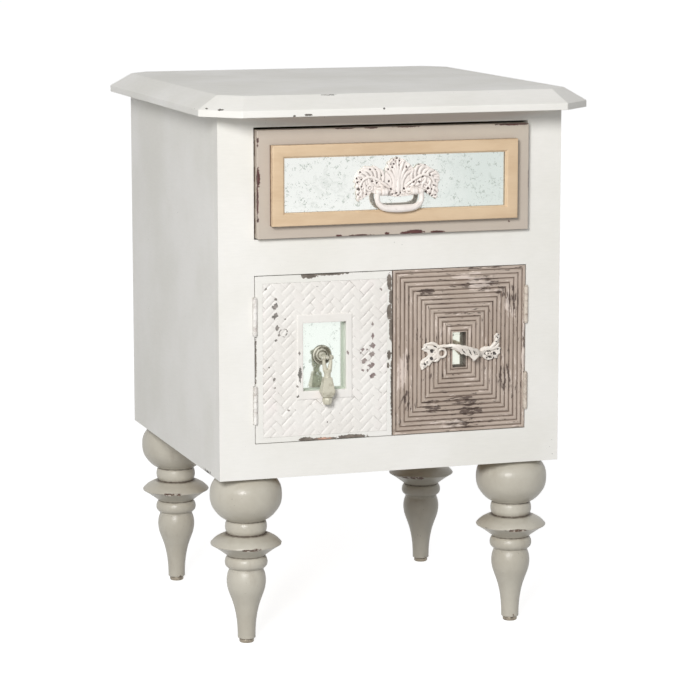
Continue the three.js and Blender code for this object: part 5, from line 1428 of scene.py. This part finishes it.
def leaf_handle(material):
    """Cast handle across the window: two leaves on the door and a grip of twisted lobes between them."""
    shapes = [slab(LEFT_LEAF, HANDLE[1], -3.0), slab(RIGHT_LEAF, HANDLE[1], -3.0)]
    for k, (start, end) in enumerate(LEAF_LOBES):
        shapes.append(frond(start, end, 1.5, 2.0, -3.7, -2.9, 0.12 if k % 2 else -0.12, 0.8))
    shapes.append(limb(CURL, CURL_SIZES, 0.9))
    shapes.append(hoop((-25.4, -3.3, -2.5), 5.3, 1.7, steps=36, sides=10))
    shapes.append(limb(BRIDGE, [3.0, 2.6, 3.0], 0.8))
    shapes += handle_grip()
    points, faces = fused([moved(shape, (HANDLE[0], 0, HANDLE[2])) for shape in shapes], 0.45)
    points[:, 1] = np.clip(points[:, 1], *HANDLE_DEPTHS)
    points[:, [0, 2]] = np.clip(points[:, [0, 2]], HANDLE_LOW, HANDLE_HIGH)
    pit = pitted(points, handle_pits(), HANDLE, -1.4)
    points[:, 1] = np.minimum(points[:, 1], HANDLE[1])
    piece(
        "right_door_handle_leafy", (points, faces), "right_door", material,
        ("right_door_handle",), 60, {"crevice": darkened_at_base(points, faces, HANDLE[1] - 0.2), "pit": pit},
    )


# Whole chest

# Worn and tinted places: x, y, z, half width, half depth, half height, weight, in the case's place
# Painted shade: a warm tint on the case's front under the top's overhang
SHADE_UNDER_TOP = (240, 0, 464, 250, 40, 22, 1.0)
# Pale green on the left window's walls: partly green paint, partly a painted reflection of the mirror
LEFT_WINDOW = (139.3, 9.0, 153.0, 62.0, 9.5, 90.0, 1.0)
WARM_PATCH = (138.5, 0, 48.0, 17, 5, 5.5, 1.0)
SIDE_MARKS = [(-0.5, 60, 2, 3, 30, 3, 0.8)]
TOP_MARKS = [
    (-6, -35.5, 471.8, 6, 6, 1.5, 1.35), (-19.5, -20.5, 472.6, 2.4, 4, 1.1, 1.1),
    (82, -59, 463.6, 2.6, 4, 1.6, 2.0), (134, -35, 487.0, 13, 5, 1.2, 1.05),
    (100, -59, 464.8, 7, 4, 1.8, 1.7), (270.6, -59, 474.0, 4, 4, 1.5, 1.4),
    (283, -59, 474.0, 5, 4, 1.5, 1.6), (291.6, -59, 474.0, 6, 4, 2.0, 1.8),
    (308, -59, 474.0, 7, 4, 1.8, 1.6), (327, -59, 474.0, 2, 4, 1.4, 1.2),
    (140, -20, 485.6, 9, 3, 1.6, 1.2), (198, -59, 470.5, 1.6, 4, 1.6, 1.2),
]
DOOR_MARKS = [
    (119, 0, 258.6, 15, 4, 5.2, 2.0), (146, 0, 260.0, 34, 4, 4.0, 2.0),
    (225.6, 0, 245, 4.2, 4, 14, 1.6), (227.4, 0, 225, 3.0, 4, 15, 1.5),
    (225.6, 0, 206, 4.4, 4, 13, 1.8), (228.0, 0, 185, 3.4, 4, 20, 1.8), (225.4, 0, 151, 3.6, 4, 8, 1.4),
    (224.0, 0, 137, 2.4, 4, 5, 1.2), (229.0, 0, 110, 2.2, 4, 60, 1.1), (114, 0, 46.6, 13, 4, 4.8, 2.0),
    (175, 0, 46.8, 24, 4, 5.0, 2.0), (136, 0, 46.2, 24, 4, 3.6, 2.0), (48, 0, 150, 1.6, 3, 60, 0.9),
    (190, 0, 260, 20, 3, 1.6, 0.8), (110.5, 2, 138, 2.4, 5, 24, 1.5), (140, 0, 108.9, 26, 4, 2.0, 1.1),
    (168.5, 1, 157, 1.8, 4, 9, 1.1), (167, 4, 196, 5, 7, 4, 1.4),
]
DRAWER_MARKS = [
    (49.2, -10, 384, 3.4, 6, 15, 2.0), (48.4, -10, 356, 1.9, 6, 28, 2.0),
    (49, -10, 330.5, 1.6, 6, 4, 1.2), (49, -10, 431, 2.4, 6, 4, 1.1), (49, -10, 424, 1.6, 6, 2, 1.2),
    (257, -10, 309.2, 15, 5, 3.4, 1.9), (245, -10, 308.4, 12, 5, 2.2, 1.6),
    (287, -10, 308.2, 14, 5, 1.7, 1.6), (184, -10, 307.6, 21, 5, 1.5, 1.25),
    (219, -10, 308.4, 4, 5, 2.4, 1.7), (155, -10, 307.9, 5, 5, 2.0, 1.6),
    (163, -10, 443.4, 18, 4, 2.0, 1.7), (198.6, -10, 443.4, 12, 4, 2.2, 1.8),
    (245, -10, 443.4, 22, 4, 2.0, 1.7), (388, -10, 442.6, 30, 4, 2.4, 1.6),
    (411, -10, 372, 1.6, 4, 26, 1.1), (384, -10, 318, 2, 3, 2, 1.0),
]

# Which way the grain runs in the pieces of bare wood, by the start of their names
GRAIN_WAYS = {
    "bottom_panel": "x", "divider_panel": "x", "door_stop": "x", "drawer_back": "x", "drawer_bottom": "x",
    "corner_block": "x", "drawer_runner": "y", "drawer_kicker": "y", "drawer_side": "side",
    "back_panel": "z", "left_door_backer": "z", "right_door_backer": "z",
}

# How sparse the flecks in the white paint are, and how far back the drawer's sides are painted, in metres
WHITE_FLECK = -0.11
PAINTED_FRONT = 0.013


def dress_case():
    """The white case, its top, and the legs."""
    # A warm painted shade on the front under the top's overhang
    shaded = (SHADE_UNDER_TOP, srgb(232, 221, 211))
    face_frame(painted("white_paint", WHITE, WHITE_DULL, fleck=WHITE_FLECK, tint=shaded))
    top = painted("white_paint_of_the_top", WHITE, WHITE_DULL, TOP_MARKS, fleck=WHITE_FLECK)
    sides = painted("white_paint_of_the_sides", WHITE, WHITE_DULL, SIDE_MARKS, fleck=WHITE_FLECK)
    bevelled(finish_node("top_panel", top), 0.9)
    for name in ("side_left", "side_right"):
        bevelled(finish_node(name, sides), 0.5)
    legs(greige_gloss(), worn_metal("glide_metal", srgb(160, 150, 134), srgb(84, 74, 64), 0.5, 0.4))


def dress_drawer():
    """The greige drawer front with its gilt frame, mirror and pull."""
    greige = painted(
        "greige_paint", srgb(202, 192, 178), srgb(196, 184, 171), DRAWER_MARKS, srgb(62, 27, 24), gloss=0.42,
    )
    bevelled(finish_node("drawer_front", greige), 0.8)
    gilt_moulding(gilt_paint())
    cast = cast_paint("cast_paint_of_the_pull", srgb(247, 240, 234), srgb(238, 229, 223), srgb(74, 60, 56))
    pull_plate(cast)
    pull_bail(cast)
    finish_node("drawer_mirror", old_mirror(
        "old_mirror_of_the_drawer", srgb(238, 240, 236), srgb(217, 224, 219), srgb(176, 184, 177),
    ))


def dress_left_door():
    """The white door with its woven field, its mirror and the drop on its rosette."""
    # The window's walls get a pale green tint, partly green paint and partly a painted reflection of the
    # mirror
    white = painted(
        "white_paint_of_the_door", WHITE, WHITE_DULL, DOOR_MARKS, srgb(96, 88, 80),
        tint=(LEFT_WINDOW, srgb(205, 211, 197)), warm=(WARM_PATCH, srgb(206, 160, 138)),
    )
    bevelled(finish_node("left_door_board", white), 0.6)
    weave(woven_paint())
    rosette(worn_metal("aged_metal_of_the_rosette", srgb(206, 203, 188), srgb(98, 94, 78), 0.12, 0.42))
    drop(worn_metal("aged_metal", srgb(204, 200, 182), srgb(160, 154, 134), 0.12, 0.44))
    finish_node("left_door_mirror", old_mirror(
        "old_mirror_of_the_left_door", srgb(224, 230, 224), srgb(214, 220, 210), srgb(188, 198, 189), 0.05,
    ))


def dress_right_door():
    """The taupe door with its reeds, its mirror and the leafy handle."""
    reeded_door(reeded_paint())
    cast = cast_paint("cast_paint_of_the_handle", srgb(244, 238, 229), srgb(232, 223, 213), srgb(40, 32, 29))
    leaf_handle(cast)
    finish_node("right_door_mirror", old_mirror(
        "old_mirror_of_the_right_door", srgb(228, 232, 222), srgb(224, 227, 214), srgb(160, 166, 152), 0.03,
    ))


def dress_hinges_and_bare_wood():
    """The hinges, painted like their doors, and the plain wood behind and inside."""
    hinges = {
        "left": worn_metal("hinge_painted_white", srgb(240, 237, 232), srgb(188, 178, 170), 0.0, 0.45),
        "right": worn_metal("hinge_painted_taupe", srgb(214, 203, 189), srgb(150, 132, 118), 0.0, 0.45),
    }
    painted_to = case_corner[1] + PAINTED_FRONT
    grains = {
        "x": bare_wood("wood_grain_across", (0.09, 1.0, 1.0)),
        "y": bare_wood("wood_grain_back", (1.0, 0.09, 1.0)),
        "z": bare_wood("wood_grain_upright", (1.0, 1.0, 0.09)),
        "side": bare_wood("wood_grain_of_the_drawer_sides", (1.0, 0.09, 1.0), painted_to),
    }
    for name in nodes:
        if name.startswith("hinge_"):
            finish_node(name, hinges["left" if "_left_" in name else "right"])
        for start, way in GRAIN_WAYS.items():
            if name.startswith(start):
                finish_node(name, grains[way])


CLIP_END = 200.0
FLOOR_HALF = 30.0
FLOOR_GLOW = 0.86


def add_camera():
    """The camera at the photograph's angle."""
    camera = bpy.data.objects.new("camera", bpy.data.cameras.new("camera"))
    camera.location = EYE
    camera.rotation_euler = (Vector(AIM) - Vector(EYE)).to_track_quat("-Z", "Y").to_euler()
    camera.data.lens = LENS
    camera.data.sensor_width = SENSOR
    camera.data.clip_end = CLIP_END
    bpy.context.scene.collection.objects.link(camera)
    bpy.context.scene.camera = camera


def add_lamp():
    """One soft lamp from the front left."""
    lamp = bpy.data.objects.new("soft_lamp", bpy.data.lights.new("soft_lamp", "AREA"))
    lamp.data.shape = "DISK"
    lamp.data.size = KEY_WIDTH
    lamp.data.energy = KEY_LEVEL * math.pi * KEY_DISTANCE ** 2
    lamp.location = Vector(AIM) + Vector(KEY_DIRECTION).normalized() * KEY_DISTANCE
    lamp.rotation_euler = Vector(KEY_DIRECTION).to_track_quat("Z", "Y").to_euler()
    bpy.context.scene.collection.objects.link(lamp)


def add_room():
    """A pale room and floor that are white to the eye and in reflections, and dimmer as light."""
    world = bpy.data.worlds.new("pale_room")
    bpy.context.scene.world = world
    sky = Finish(world)
    level = seen_directly(sky).step(0.0, 1.0, SKY_STRENGTH, 1.0)
    backdrop = sky.node("ShaderNodeBackground", None, {"Color": (1.0, 1.0, 1.0), "Strength": level})
    sky.node("ShaderNodeOutputWorld", None, {"Surface": backdrop})
    floor = new_finish("pale_floor")
    grey = floor.mix(floor.cloud(0.8), (0.47, 0.47, 0.47), (0.5, 0.5, 0.5))
    shade = floor.node("ShaderNodeBsdfDiffuse", None, {"Color": grey})
    strength = seen_directly(floor) * FLOOR_GLOW
    glow = floor.node("ShaderNodeEmission", None, {"Color": (1.0, 1.0, 1.0), "Strength": strength})
    both = floor.node("ShaderNodeAddShader", None, {0: shade, 1: glow})
    floor.node("ShaderNodeOutputMaterial", None, {"Surface": both})
    corners = [(x * FLOOR_HALF, y * FLOOR_HALF, 0) for x, y in ((-1, -1), (1, -1), (1, 1), (-1, 1))]
    plane = raw_object("floor", corners, [(0, 1, 2, 3)])
    plane.data.materials.append(floor.holder)


def seen_directly(finish):
    """1 for camera rays and for rays off or through a glossy surface, else 0."""
    names = ("Is Camera Ray", "Is Glossy Ray", "Is Transmission Ray")
    camera, glossy, through = (finish.node("ShaderNodeLightPath", output=name) for name in names)
    return (camera + glossy + through).smaller(1.0)


bpy.context.scene.view_settings.view_transform = "Standard"
dress_case()
dress_drawer()
dress_left_door()
dress_right_door()
dress_hinges_and_bare_wood()
add_camera()
add_lamp()
add_room()
